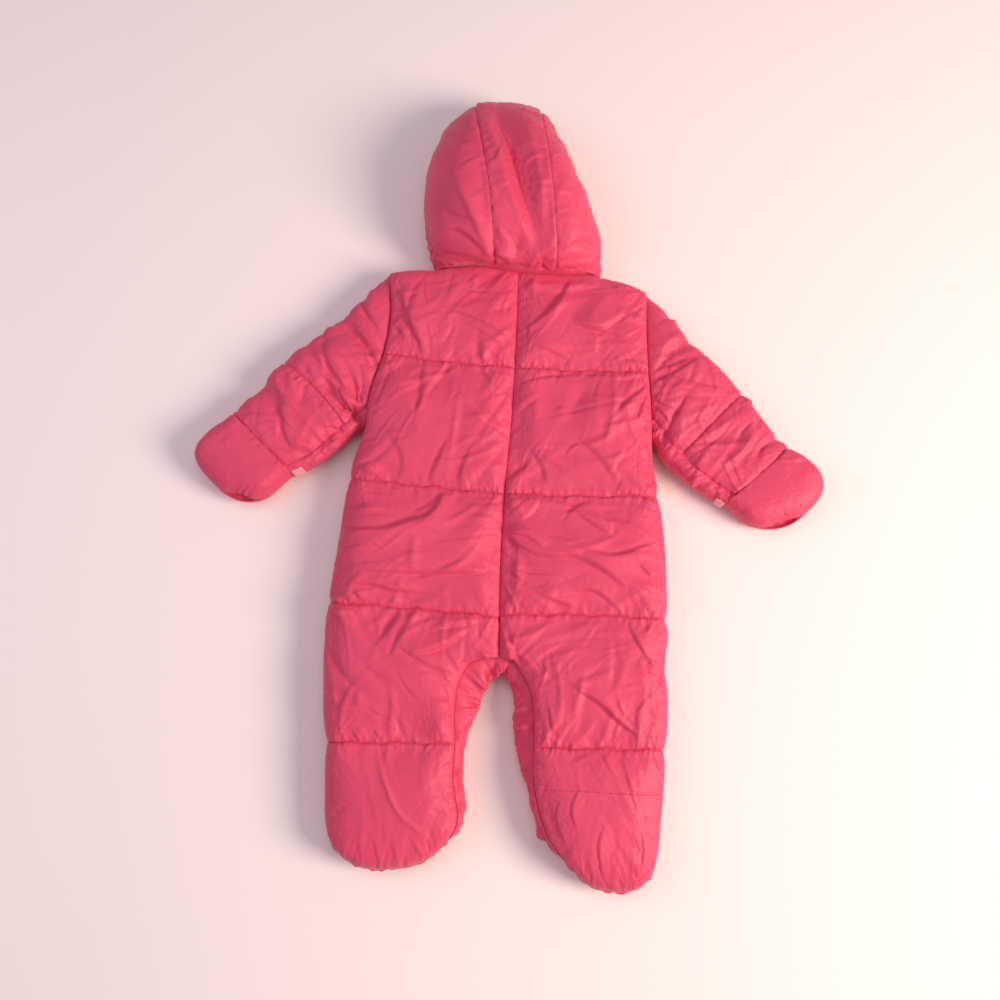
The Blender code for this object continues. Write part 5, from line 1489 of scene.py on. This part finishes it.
def drawn_back(grid, name):
    """One piece's part of a grid, drawn back from its seams by half their gap."""
    first, last, left, right = hood_cut(name)
    part = grid[:, first:last + 1].copy()
    part[:, 0, 0] += left * SEAM_GAP / 2
    part[:, -1, 0] += right * SEAM_GAP / 2
    return part


def plan_hood():
    """Readies the hood's three pieces, each drawn back from its seams."""
    whole = hood()
    for name in HOOD_PIECES:
        first, last, *_ = hood_cut(name)
        part = drawn_back(whole.outer, name)
        seam = whole.to_seam[:, first:last + 1]
        to_end = np.minimum(whole.down, whole.down[-1] - whole.down)[:, first:last + 1]
        to_seam = np.minimum(np.minimum(seam, to_end), part[..., 2])
        held, slack = weights(to_seam, 99 + 0 * seam)
        held[:, 0] = 1.0
        held[:, -1] = 1.0
        SHEETS[name] = Sheet(part, held, slack, HOOD_MIDDLE)


def detail_hood(name, grid):
    """A settled piece of the hood, doubled, with its puckers, gathers and folds."""
    whole = hood()
    first, last, *_ = hood_cut(name)
    grid = finer(grid)
    one, other, down, length = finer_maps(
        *(part[:, first:last + 1] for part in (*whole.over_seams, whole.down, whole.length)))
    over = np.where(np.abs(one) < np.abs(other), one, other)
    seed = 301 + HOOD_PIECES.index(name)
    lift = puckers(down, over, HOOD_PUCKERS, seed)
    low = down[-1] - down
    lift += 1.6 * (gathered(length, 5.0, 12.0, seed + 20) - 0.4) * bell(low / 9)
    to_end = np.minimum(down, down[-1] - down)
    x, y = grid[..., 0], grid[..., 1]
    valley = np.abs(follow(HOOD_DENTS[0].path, x, y)[1])
    folds = crumpled(x, y, HOOD_BROAD_FOLDS, seed)
    folds += crumpled(x, y, HOOD_FOLDS, seed, times=2 if name == "hood_centre" else 1)
    folds *= np.clip(valley / 14, 0.1, 1)
    folds += creased(HOOD_CREASES, x, y) + dented(HOOD_DENTS, x, y)
    lift += folds * np.clip(np.abs(over) / 6, 0.15, 1)
    normal = normals(grid, HOOD_MIDDLE)
    beside = limited(1.3 - 1.9 * np.abs(normal[..., 2]))
    height = grid[..., 2]
    lift += beside * crumpled(down, height, HOOD_SIDE_FOLDS, seed)
    lift *= limited(np.minimum(np.abs(over), to_end) / 2.5) * limited(height / 24)
    return grid + normal * lift[..., None]


# ---- crotch strip ----
def strip_grids():
    """The padded strip from ankle to ankle through the crotch: a barrel-shaped section carried
    along the edges of both legs, with gathers across it."""
    left, right = half(-1), half(1)
    edges = [np.column_stack([h.x[:, 0], h.y[:, 0]])[h.fork_row:] for h in (left, right)]
    middle = (edges[0][:1] + edges[1][:1]) / 2
    path = np.vstack([edges[0][:0:-1], middle, edges[1][1:]])
    reach = np.vstack([left.strip[:0:-1], left.strip[:1], right.strip[1:]])
    tangent = np.gradient(path, axis=0)
    tangent /= np.linalg.norm(tangent, axis=1)[:, None]
    seam = path + np.column_stack([tangent[:, 1], -tangent[:, 0]]) * SEAM_GAP
    heights = np.linspace(FRONT_LEG_SEAM, LEG_SEAM - STRIP_LOW, 22)
    from_middle = (heights - heights.mean()) / (heights[-1] - heights.mean())
    swell = 0.08 + 0.92 * (1 - np.abs(from_middle) ** STRIP_ROUND) ** (1 / STRIP_ROUND)
    along = summed(steps_of(path))
    to_end = np.minimum(along, along[-1] - along)
    taper = 0.02 + 0.98 * limited(to_end / STRIP_TAPER) ** 0.85
    outer = seam[:, None] + (reach - seam)[:, None] * (swell[None, :] * taper[:, None])[..., None]
    outer = points(outer[..., 0], outer[..., 1], heights[None, :])
    inner = points(seam[:, None, 0], seam[:, None, 1], heights[None, :])
    fork = len(edges[0]) - 1
    outer, inner = finer(outer), finer(inner)
    to_fork = along[fork]
    along, to_end, height = finer_maps(along[:, None], to_end[:, None], heights[None, :])
    from_fork = np.abs(along - to_fork)
    depth = np.linalg.norm(outer - inner, axis=-1)
    from_top = LEG_SEAM - STRIP_LOW + 1 - height
    slant = along + 1.1 * from_top * np.sin(along / 23.0)
    tall = 1.4 + 2.8 * bell(from_fork / 45.0)
    lift = tall * (gathered(slant, 6.0, 20.0, 401) - 0.55)
    lift += 0.3 * tall * (gathered(along - 0.3 * from_top, 4.0, 9.0, 402) - 0.5)
    folds = crumpled(along, 1.3 * height, STRIP_FOLDS)
    lift += 1.3 * folds * np.clip((height - 15) / 7, 0.15, 1)
    ends = limited(from_top / 3.0) * limited(height / 8) * limited(to_end / 12)
    lift *= ends * np.clip(depth / 5, 0.2, 1)
    outer = outer + normals(outer, inner) * np.maximum(lift, 0.8 - depth)[..., None]
    outer[..., 2] = np.clip(outer[..., 2], 0.2, LEG_SEAM + 2)
    return outer, inner


# ---- materials ----
def linear(code):
    """An sRGB hex colour as linear values."""
    value = np.array([int(code[i:i + 2], 16) for i in (1, 3, 5)]) / 255
    value = np.where(value <= 0.04045, value / 12.92, ((value + 0.055) / 1.055) ** 2.4)
    return tuple(value.tolist())


def add_node(tree, kind, settings=None, links=None):
    """Adds a node, sets its properties and sockets, and links its inputs from other sockets."""
    node = tree.nodes.new("ShaderNode" + kind)
    for name, value in (settings or {}).items():
        if isinstance(name, str) and hasattr(node, name):
            setattr(node, name, value)
        else:
            node.inputs[name].default_value = value
    for name, socket in (links or {}).items():
        tree.links.new(socket, node.inputs[name])
    return node


def new_material(name, colour, **sockets):
    """A Principled material: its tree, its shader and the object coordinates."""
    made = bpy.data.materials.new(name)
    made.use_nodes = True
    tree = made.node_tree
    shader = tree.nodes["Principled BSDF"]
    shader.inputs["Base Color"].default_value = (*colour, 1.0)
    for socket, value in sockets.items():
        shader.inputs[socket.replace("_", " ")].default_value = value
    place = add_node(tree, "TexCoord").outputs["Object"]
    return made, tree, shader, place


def nylon():
    """Quilted nylon taffeta: a fine plain weave, calendered to a soft satin gloss, over polyester
    wadding. It gives broad soft highlights and a slightly crinkled surface."""
    made = bpy.data.materials.get("calendered_nylon_taffeta")
    if made:
        return made
    made, tree, shader, place = new_material(
        "calendered_nylon_taffeta", look().nylon, Roughness=0.55, IOR=1.53, Sheen_Weight=0.2,
        Sheen_Roughness=0.4)
    shader.inputs["Specular IOR Level"].default_value = 0.32
    shader.inputs["Sheen Tint"].default_value = (*linear(SHEEN), 1.0)
    cloud = add_node(tree, "TexNoise", {"Scale": 16.0, "Detail": 4.0, "Roughness": 0.55},
                     {"Vector": place})
    colours = {6: (*look().nylon_deep, 1.0), 7: (*look().nylon, 1.0)}
    mix = add_node(tree, "Mix", {"data_type": "RGBA", **colours}, {0: cloud.outputs["Fac"]})
    tree.links.new(mix.outputs[2], shader.inputs["Base Color"])
    # crinkles 6 to 12 mm across, and finer ones 2 to 3 mm across
    crinkle = add_node(tree, "TexNoise", {"Scale": 95.0, "Detail": 3.0, "Distortion": 0.8},
                       {"Vector": place})
    grain = add_node(tree, "TexNoise", {"Scale": 420.0, "Detail": 2.0}, {"Vector": place})
    # the weave's threads are 0.1 mm apart, too fine to show, so they are drawn 0.8 mm apart
    warp = add_node(tree, "TexWave", {"Scale": 196.0, "bands_direction": "X"}, {"Vector": place})
    weft = add_node(tree, "TexWave", {"Scale": 196.0, "bands_direction": "Y"}, {"Vector": place})
    weave = add_node(tree, "Math", {"operation": "MULTIPLY"},
                     {0: warp.outputs["Fac"], 1: weft.outputs["Fac"]})
    low = add_node(tree, "Bump", {"Strength": 0.12, "Distance": 0.0005},
                   {"Height": crinkle.outputs["Fac"]})
    fine = add_node(tree, "Bump", {"Strength": 0.2, "Distance": 0.00012},
                    {"Height": grain.outputs["Fac"], "Normal": low.outputs["Normal"]})
    threads = add_node(tree, "Bump", {"Strength": 0.3, "Distance": 0.00004},
                       {"Height": weave.outputs[0], "Normal": fine.outputs["Normal"]})
    tree.links.new(threads.outputs["Normal"], shader.inputs["Normal"])
    return made


def embossed(name, colour, roughness, texture, pattern, strength, depth):
    """A whole material with one colour, whose fine relief is one texture."""
    made, tree, shader, place = new_material(name, colour, Roughness=roughness)
    relief = add_node(tree, texture, pattern, {"Vector": place})
    bump = add_node(tree, "Bump", {"Strength": strength, "Distance": depth},
                    {"Height": relief.outputs["Fac"]})
    tree.links.new(bump.outputs["Normal"], shader.inputs["Normal"])
    return made


def sewing_thread():
    """Spun polyester sewing thread: matt, twisted from two strands. Its colour is darker than the
    nylon's, as painted shade of the stitched valleys.
    """
    twist = {"Scale": 700.0, "bands_direction": "DIAGONAL"}
    return embossed("spun_polyester_thread", look().thread, 0.7, "TexWave", twist, 0.4, 0.0001)


def satin():
    """Polyester satin ribbon, folded over the mitt's opening: smooth, glossy along its floats."""
    floats = {"Scale": 240.0, "bands_direction": "Y"}
    return embossed("folded_polyester_satin", look().satin, 0.34, "TexWave", floats, 0.25, 0.0001)


def zip_tape():
    """Woven polyester zip tape: matt, with ribs along it."""
    ribs = {"Scale": 260.0, "bands_direction": "X"}
    return embossed("woven_zip_tape", look().tape, 0.8, "TexWave", ribs, 0.5, 0.0002)


def moulded_plastic():
    """Injection-moulded acetal teeth: even colour, a soft gloss, very slightly uneven."""
    uneven = {"Scale": 900.0}
    return embossed("moulded_acetal", look().teeth, 0.35, "TexNoise", uneven, 0.1, 0.0001)


def cast_metal():
    """Die-cast zinc with a nickel plating, tumbled: bright, with fine scratches."""
    made, tree, shader, place = new_material("nickel_plated_zinc", linear(METAL), Metallic=1.0)
    scratches = add_node(tree, "TexNoise", {"Scale": 1400.0, "Detail": 3.0}, {"Vector": place})
    rough = add_node(tree, "MapRange", {"To Min": 0.22, "To Max": 0.42},
                     {"Value": scratches.outputs["Fac"]})
    tree.links.new(rough.outputs["Result"], shader.inputs["Roughness"])
    return made


# ---- pieces ----
def worn(piece, slot, *nodes):
    """Every cloth piece rides on the suit's one body, in place of its solids."""
    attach(piece, BODY)
    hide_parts(*nodes)
    return piece


def make_back(side):
    """A settled back, with a line of stitches along each of its quilting lines."""
    name = f"back_{label(side)}"
    grid = detail_back(side, SETTLED[name])
    plan = half(side)
    for key in plan.quilt_keys:
        stitched(grid[2 * int(np.argmin(np.abs(plan.rows - key)))])
    if side > 0:
        stitched(grid[int(np.argmin(np.abs(grid[:, SHALLOW_COLUMN, 1] - SHALLOW_LINE[1][1])))])
    piece = on_plane(f"{name}_padded", grid, LAYER + SEAM_GAP / 2, nylon())
    worn(piece, "quilted_nylon", name)


def make_front(side):
    """The front lies flat, hollowed beside the zip, and its toes stand out in small folds."""
    plan = Half(side, FRONT_FINE, eased(44, 0.8))
    valley = limited((plan.y[:, :1] - ZIP_BOTTOM) / ZIP_END + 3)
    x = plan.x + side * ZIP_VALLEY * valley * (1 - plan.u[None, :])
    near = bell(plan.from_toe / 14)
    folds = gathered(plan.from_inner, 6.0, 15.0, 81 + side)
    y = plan.y - TOE_LIP * near * (1.6 * folds - 0.4)
    bottom = np.minimum(plan.front_bottom() + 1.5 * near * folds, LAYER - MIN_WALL)
    grid = points(x, y, bottom)
    name = f"front_{label(side)}"
    piece = on_plane(f"{name}_padded", grid, LAYER - SEAM_GAP / 2, nylon())
    worn(piece, "quilted_nylon", name)


def make_sleeve(side):
    """A settled sleeve, stitched at its elbow and cap, with its satin edge."""
    name = f"sleeve_{label(side)}"
    plan = sleeve(side)
    grid = detail_sleeve(side, SETTLED[name])
    for key in plan.quilt_keys[:1]:
        ring = grid[2 * int(np.argmin(np.abs(plan.rows - key)))]
        stitched(ring[ring[:, 2] > SLEEVE_MIDDLE])
    stitched(on_surface(grid, CAP_QUILTING[side]))
    inside = finer(plan.inside, True)
    piece = tube(f"{name}_padded", grid, inside, nylon())
    worn(piece, "quilted_nylon", name)
    make_binding(side, grid)


def make_binding(side, grid):
    """The satin edge of the mitt's opening, which comes round the sleeve's lower edge: a part of
    the sleeve's own surface, lifted off it, with a folded edge on both sides. The right one is
    9 mm wide, and only its stated flat width is more."""
    plan = sleeve(side)
    angle = np.append(plan.angle, plan.angle[0] - 2 * math.pi)
    angle = np.interp(np.arange(grid.shape[1]) / 2, np.arange(len(angle)), angle)
    angle = np.degrees((angle + math.pi) % (2 * math.pi) - math.pi)
    chosen = np.flatnonzero((angle < BINDING_ABOVE[side]) & (angle > BINDING_BELOW))
    chosen = chosen[np.argsort(-angle[chosen])]
    part = grid[BINDING_ROWS, chosen]
    normal = normals(grid, grid.mean(axis=(0, 1)), True)[BINDING_ROWS, chosen]
    share = np.linspace(-1, 1, len(part))[:, None, None]
    ribbon = walled(f"mitt_binding_{label(side)}_satin",
                    part + normal * (0.5 + 0.9 * (1 - share**4)), part + normal * 0.2, satin())
    worn(ribbon, "satin_binding", f"mitt_binding_{label(side)}")


def make_mitt(side):
    """A settled mitt back over its palm."""
    name = f"mitt_back_{label(side)}"
    grid = detail_mitt(side, SETTLED[name])
    piece = on_plane(f"{name}_padded", grid, LAYER + SEAM_GAP / 2, nylon())
    worn(piece, "quilted_nylon", name)
    palm = walled(f"mitt_palm_{label(side)}_padded", *palm_grids(side), nylon())
    worn(palm, "quilted_nylon", f"mitt_palm_{label(side)}")


def make_hood_piece(name):
    """A settled piece of the hood, with a wall inside it."""
    outer = detail_hood(name, SETTLED[name])
    inner = finer(drawn_back(hood().inner, name))
    # the front edge turns down to the surface
    outer = np.concatenate([outer[:1] * [1, 1, 0] - [0, 1.5, 0], outer])
    inner = np.concatenate([inner[:1] * [1, 1, 0] - [0, 1.5, 0], inner])
    piece = walled(f"{name}_padded", outer, inner, nylon())
    worn(piece, "quilted_nylon", name)


def make_strip():
    """The crotch strip, from its own two surfaces."""
    outer, inner = strip_grids()
    piece = walled("crotch_gusset_padded", outer, inner, nylon())
    worn(piece, "quilted_nylon", "crotch_gusset")


def make_tape(side):
    """Half of the zip's tape: a thin woven strip beside the teeth, with ribs along it."""
    y = np.linspace(ZIP_BOTTOM, ZIP_TOP, 120)[:, None]
    share = np.linspace(0, 1, 17)[None, :]
    near, far = CHAIN_HALF + SEAM_GAP, ZIP_VALLEY - SEAM_GAP
    x = centre_back(y[:, 0])[:, None] + side * (near + (far - near) * share)
    ribs = 0.22 * np.abs(np.sin(4 * math.pi * share)) ** 0.5 + 0.12 * np.sin(y / 9.0) * share
    name = f"zip_tape_{label(side)}"
    tape = walled(f"{name}_woven", points(x, y, TAPE_Z[0] + 0.3 - ribs),
                  points(x, y, TAPE_Z[1] - 0.2), zip_tape())
    worn(tape, "zip_tape", name)


def make_teeth():
    """Two rows of moulded teeth that grip each other: each is a block with a narrow neck and a wide
    head, and the left row sits half a pitch above the right one."""
    low, high = CHAIN_Z
    top = SLIDER_Y + SLIDER_LENGTH / 2 - 2.0
    outline = np.array([(CHAIN_HALF, -0.32), (0.3, -0.24), (-0.5, -0.62), (-0.95, -0.4),
                        (-0.95, 0.4), (-0.5, 0.62), (0.3, 0.24), (CHAIN_HALF, 0.32)])
    verts = []
    for side, first in ((1, 0.0), (-1, 0.5 * TOOTH_PITCH)):
        y = np.arange(ZIP_BOTTOM + 1.0 + first, top - 1.0, TOOTH_PITCH)
        middle = np.column_stack([centre_back(y), y])
        plan = middle[:, None] + outline[None, ::side] * [side, 1]
        rims = [points(plan[..., 0], plan[..., 1], z) for z in (low + 0.1, high - 0.1)]
        verts.append(np.concatenate(rims, axis=1))
    verts = np.concatenate(verts)
    count = len(outline)
    around = grid_faces(2, count, True).tolist()
    caps = [list(range(count))[::-1], list(range(count, 2 * count))]
    faces = [[v + k * 2 * count for v in face] for k in range(len(verts)) for face in around + caps]
    teeth = outward(make_mesh("zip_teeth", verts.reshape(-1, 3), faces, moulded_plastic(), False))
    worn(teeth, "zip_plastic", "zip_chain")


STITCH_LINES = []       # paths that wait for their stitches


def stitched(path):
    """Keeps a path on the surface, in mm, along which thread runs."""
    STITCH_LINES.append(path)


def on_surface(grid, path):
    """Points of a plan path on a grid's upper side: each takes the height of the nearest point."""
    path = smooth_path(path, 3.0)
    high = grid.reshape(-1, 3)
    high = high[high[:, 2] > SLEEVE_MIDDLE]
    away = np.linalg.norm(high[None, :, :2] - path[:, None], axis=-1)
    on = away.min(axis=1) < 1.5
    return np.column_stack([path, high[away.argmin(axis=1), 2]])[on]


def stitch_mesh():
    """Every stitch is a capsule that lies along its path: rings of six points whose radius swells
    from nothing, and whose middle sinks a little into the cloth at both ends."""
    share = np.array([0.0, 0.12, 0.5, 0.88, 1.0])
    radius = STITCH_RADIUS * np.array([0.25, 0.85, 1.0, 0.85, 0.25])
    sink = 0.5 * (2 * share - 1) ** 2
    starts, ends = [], []
    long = look().stitch_length / MM
    for path in STITCH_LINES:
        length = summed(steps_of(path))
        at = np.arange(1.0, length[-1] - long, STITCH_PITCH * long / STITCH_LENGTH)
        for places, found in ((at, starts), (at + long, ends)):
            found.append(np.stack([np.interp(places, length, part) for part in path.T], axis=1))
    start, end = np.concatenate(starts), np.concatenate(ends)
    way = end - start
    way /= np.linalg.norm(way, axis=1, keepdims=True)
    sideways = np.cross(way, [0.0, 0.0, 1.0])
    sideways /= np.linalg.norm(sideways, axis=1, keepdims=True)
    up = np.cross(sideways, way)
    turn = np.linspace(0, 2 * math.pi, 7)[:-1]
    middle = start[:, None] + (end - start)[:, None] * share[None, :, None]
    middle = middle + up[:, None] * (STITCH_RADIUS * 0.6 - sink)[None, :, None]
    ring = (sideways[:, None, None] * np.cos(turn)[None, None, :, None]
            + up[:, None, None] * np.sin(turn)[None, None, :, None])
    verts = middle[:, :, None] + ring * radius[None, :, None, None]
    rings, around = verts.shape[1:3]
    one = grid_faces(rings, around, True).tolist()
    caps = [list(range(around)), list(range(rings * around - 1, (rings - 1) * around - 1, -1))]
    step = rings * around
    faces = [[v + k * step for v in face] for k in range(len(verts)) for face in one + caps]
    return verts.reshape(-1, 3), faces


# ---- add-on ----
ANY_COLOUR = {"subtype": "COLOR", "size": 3, "min": 0.0, "max": 1.0}


class SnowsuitLook(bpy.types.PropertyGroup):
    """What a user would change about the suit's look."""

    nylon: bpy.props.FloatVectorProperty(
        name="Nylon", description="Colour of the quilted nylon", default=linear(NYLON),
        **ANY_COLOUR)
    nylon_deep: bpy.props.FloatVectorProperty(
        name="Nylon, deep", description="Colour of the nylon's darker patches",
        default=linear(NYLON_DEEP), **ANY_COLOUR)
    # the thread's colour is darkened as painted shade of the stitched valleys
    thread: bpy.props.FloatVectorProperty(
        name="Thread", description="Colour of the quilting thread", default=linear(THREAD_SHADED),
        **ANY_COLOUR)
    satin: bpy.props.FloatVectorProperty(
        name="Satin", description="Colour of the mitts' satin edge", default=linear(SATIN),
        **ANY_COLOUR)
    tape: bpy.props.FloatVectorProperty(
        name="Zip tape", description="Colour of the zip's tape", default=linear(TAPE),
        **ANY_COLOUR)
    teeth: bpy.props.FloatVectorProperty(
        name="Zip teeth", description="Colour of the zip's teeth", default=linear(TEETH),
        **ANY_COLOUR)
    quilt_depth: bpy.props.FloatProperty(
        name="Quilting depth", description="How far the quilting lines pull the padding down",
        default=QUILT_DEPTH * MM, min=0.0, max=0.012, unit="LENGTH")
    stitch_length: bpy.props.FloatProperty(
        name="Stitch length", description="Length of one stitch of the quilting",
        default=STITCH_LENGTH * MM, min=0.001, max=0.006, unit="LENGTH")
    light: bpy.props.FloatProperty(
        name="Light", description="Strength of the studio's main light", default=1.0, min=0.0)
    floor: bpy.props.FloatProperty(
        name="Floor size", description="Side of the floor", default=4.0, min=1.0, unit="LENGTH")


def look():
    """The scene's own settings of the suit."""
    return bpy.context.scene.snowsuit_look


class SNOWSUIT_OT_settle(bpy.types.Operator):
    """Work out the padded surfaces of the backs, sleeves, mitt backs and hood, and let their nylon
    settle
    """

    bl_idname = "snowsuit.settle"
    bl_label = "Settle the padding"

    def execute(self, context):
        for side in (-1, 1):
            plan_back(side)
            plan_sleeve(side)
            plan_mitt(side)
        plan_hood()
        settle()
        return {"FINISHED"}


class SNOWSUIT_OT_body(bpy.types.Operator):
    """Make the back and front halves and the crotch strip"""

    bl_idname = "snowsuit.body"
    bl_label = "Body"

    def execute(self, context):
        for side in (-1, 1):
            make_back(side)
            make_front(side)
        make_strip()
        return {"FINISHED"}


class SNOWSUIT_OT_sleeves(bpy.types.Operator):
    """Make the sleeves and mitts"""

    bl_idname = "snowsuit.sleeves"
    bl_label = "Sleeves and mitts"

    def execute(self, context):
        for side in (-1, 1):
            make_sleeve(side)
            make_mitt(side)
        return {"FINISHED"}


class SNOWSUIT_OT_hood(bpy.types.Operator):
    """Make the hood's three pieces"""

    bl_idname = "snowsuit.hood"
    bl_label = "Hood"

    def execute(self, context):
        for name in HOOD_PIECES:
            make_hood_piece(name)
        return {"FINISHED"}


class SNOWSUIT_OT_zip(bpy.types.Operator):
    """Make the zip's tapes and teeth, and plate its slider and pull tab"""

    bl_idname = "snowsuit.zip"
    bl_label = "Zip"

    def execute(self, context):
        for side in (-1, 1):
            make_tape(side)
        make_teeth()
        metal = cast_metal()
        for name in ("zip_slider", "zip_pull"):
            bpy.data.objects[name].material_slots[0].material = metal
        return {"FINISHED"}


class SNOWSUIT_OT_stitches(bpy.types.Operator):
    """Sew the quilting lines"""

    bl_idname = "snowsuit.stitches"
    bl_label = "Stitches"

    def execute(self, context):
        verts, faces = stitch_mesh()
        piece = outward(make_mesh("quilting_stitches", verts, faces, sewing_thread()))
        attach(piece, BODY)
        return {"FINISHED"}


class SNOWSUIT_OT_stage(bpy.types.Operator):
    """Set up the floor, the light and the camera"""

    bl_idname = "snowsuit.stage"
    bl_label = "Stage"

    def execute(self, context):
        make_stage()
        return {"FINISHED"}


class SNOWSUIT_PT_panel(bpy.types.Panel):
    """The suit's operators, in the order in which they run"""

    bl_idname = "SNOWSUIT_PT_panel"
    bl_label = "Baby snowsuit"
    bl_space_type = "VIEW_3D"
    bl_region_type = "UI"
    bl_category = "Snowsuit"

    def draw(self, context):
        for name in SnowsuitLook.__annotations__:
            self.layout.prop(look(), name)
        for operator in OPERATORS:
            self.layout.operator(operator.bl_idname)


OPERATORS = (SNOWSUIT_OT_settle, SNOWSUIT_OT_body, SNOWSUIT_OT_sleeves, SNOWSUIT_OT_hood,
             SNOWSUIT_OT_zip, SNOWSUIT_OT_stitches, SNOWSUIT_OT_stage)
CLASSES = (SnowsuitLook, *OPERATORS, SNOWSUIT_PT_panel)


# ---- stage ----
CAMERA_ELEVATION = 77.0     # degrees above the horizon
CAMERA_DISTANCE = 1.10      # metres from the point that it looks at
CAMERA_LENS = 39.6          # mm
CAMERA_SENSOR = 36.0        # mm
FLOOR_ROUGHNESS = 0.85
SKY = "#EEE6F2"
SKY_STRENGTH = 0.42

# places and size in metres, power in watts
Light = namedtuple("Light", "name place target size power colour")
LIGHTS = table(
    Light,
    ("key", (1.72, -0.62, 1.24), (0.05, 0.0, 0.05), 1.05, 53.0, "#FFEDDF"),
    ("fill", (-1.1, 0.1, 1.2), (-0.15, -0.05, 0.0), 1.2, 6.0, "#E4D8F6"),
    ("top", (0.12, 0.25, 1.5), (0.08, 0.05, 0.0), 0.6, 2.0, "#FFF3EC"),
)


def aimed(kind, name, place, target):
    """A light or camera object at 'place' that looks at 'target'."""
    item = bpy.data.objects.new(name, kind)
    bpy.context.scene.collection.objects.link(item)
    way = np.array(target, float) - np.array(place, float)
    flat = math.hypot(way[0], way[1])
    item.location = place
    item.rotation_euler = (math.atan2(flat, -way[2]), 0, math.atan2(way[1], way[0]) - math.pi / 2)
    return item


def add_light(light):
    lamp = bpy.data.lights.new(light.name, "AREA")
    lamp.shape = "DISK"
    lamp.size = light.size
    lamp.energy = light.power * look().light
    lamp.color = linear(light.colour)
    aimed(lamp, light.name, light.place, light.target)


def make_stage():
    """A plain floor, soft light from one side and a camera almost overhead."""
    scene = bpy.context.scene
    scene.view_settings.view_transform = "Standard"
    target = (SHIFT[0] * MM, SHIFT[1] * MM, 0.0)
    lean = math.radians(CAMERA_ELEVATION)
    camera = bpy.data.cameras.new("camera")
    camera.lens = CAMERA_LENS
    camera.sensor_width = CAMERA_SENSOR
    place = (target[0], target[1] - CAMERA_DISTANCE * math.cos(lean),
             CAMERA_DISTANCE * math.sin(lean))
    scene.camera = aimed(camera, "camera", place, target)

    mesh = bpy.data.meshes.new("floor")
    reach = look().floor / 2
    corners = [(x * reach, y * reach, 0) for x, y in ((-1, -1), (1, -1), (1, 1), (-1, 1))]
    mesh.from_pydata(corners, [], [(0, 1, 2, 3)])
    floor = bpy.data.objects.new("floor", mesh)
    scene.collection.objects.link(floor)
    mesh.materials.append(
        new_material("plain_pale_floor", linear(FLOOR), Roughness=FLOOR_ROUGHNESS)[0])

    world = bpy.data.worlds.new("studio")
    world.use_nodes = True
    sky = world.node_tree.nodes["Background"]
    sky.inputs["Color"].default_value = (*linear(SKY), 1.0)
    sky.inputs["Strength"].default_value = SKY_STRENGTH
    scene.world = world
    for light in LIGHTS:
        add_light(light)


def register():
    for item in CLASSES:
        bpy.utils.register_class(item)
    bpy.types.Scene.snowsuit_look = bpy.props.PointerProperty(type=SnowsuitLook)


def unregister():
    del bpy.types.Scene.snowsuit_look
    for item in reversed(CLASSES):
        bpy.utils.unregister_class(item)


def main():
    register()
    for operator in OPERATORS:
        group, name = operator.bl_idname.split(".")
        getattr(getattr(bpy.ops, group), name)()


if __name__ == "__main__":
    main()
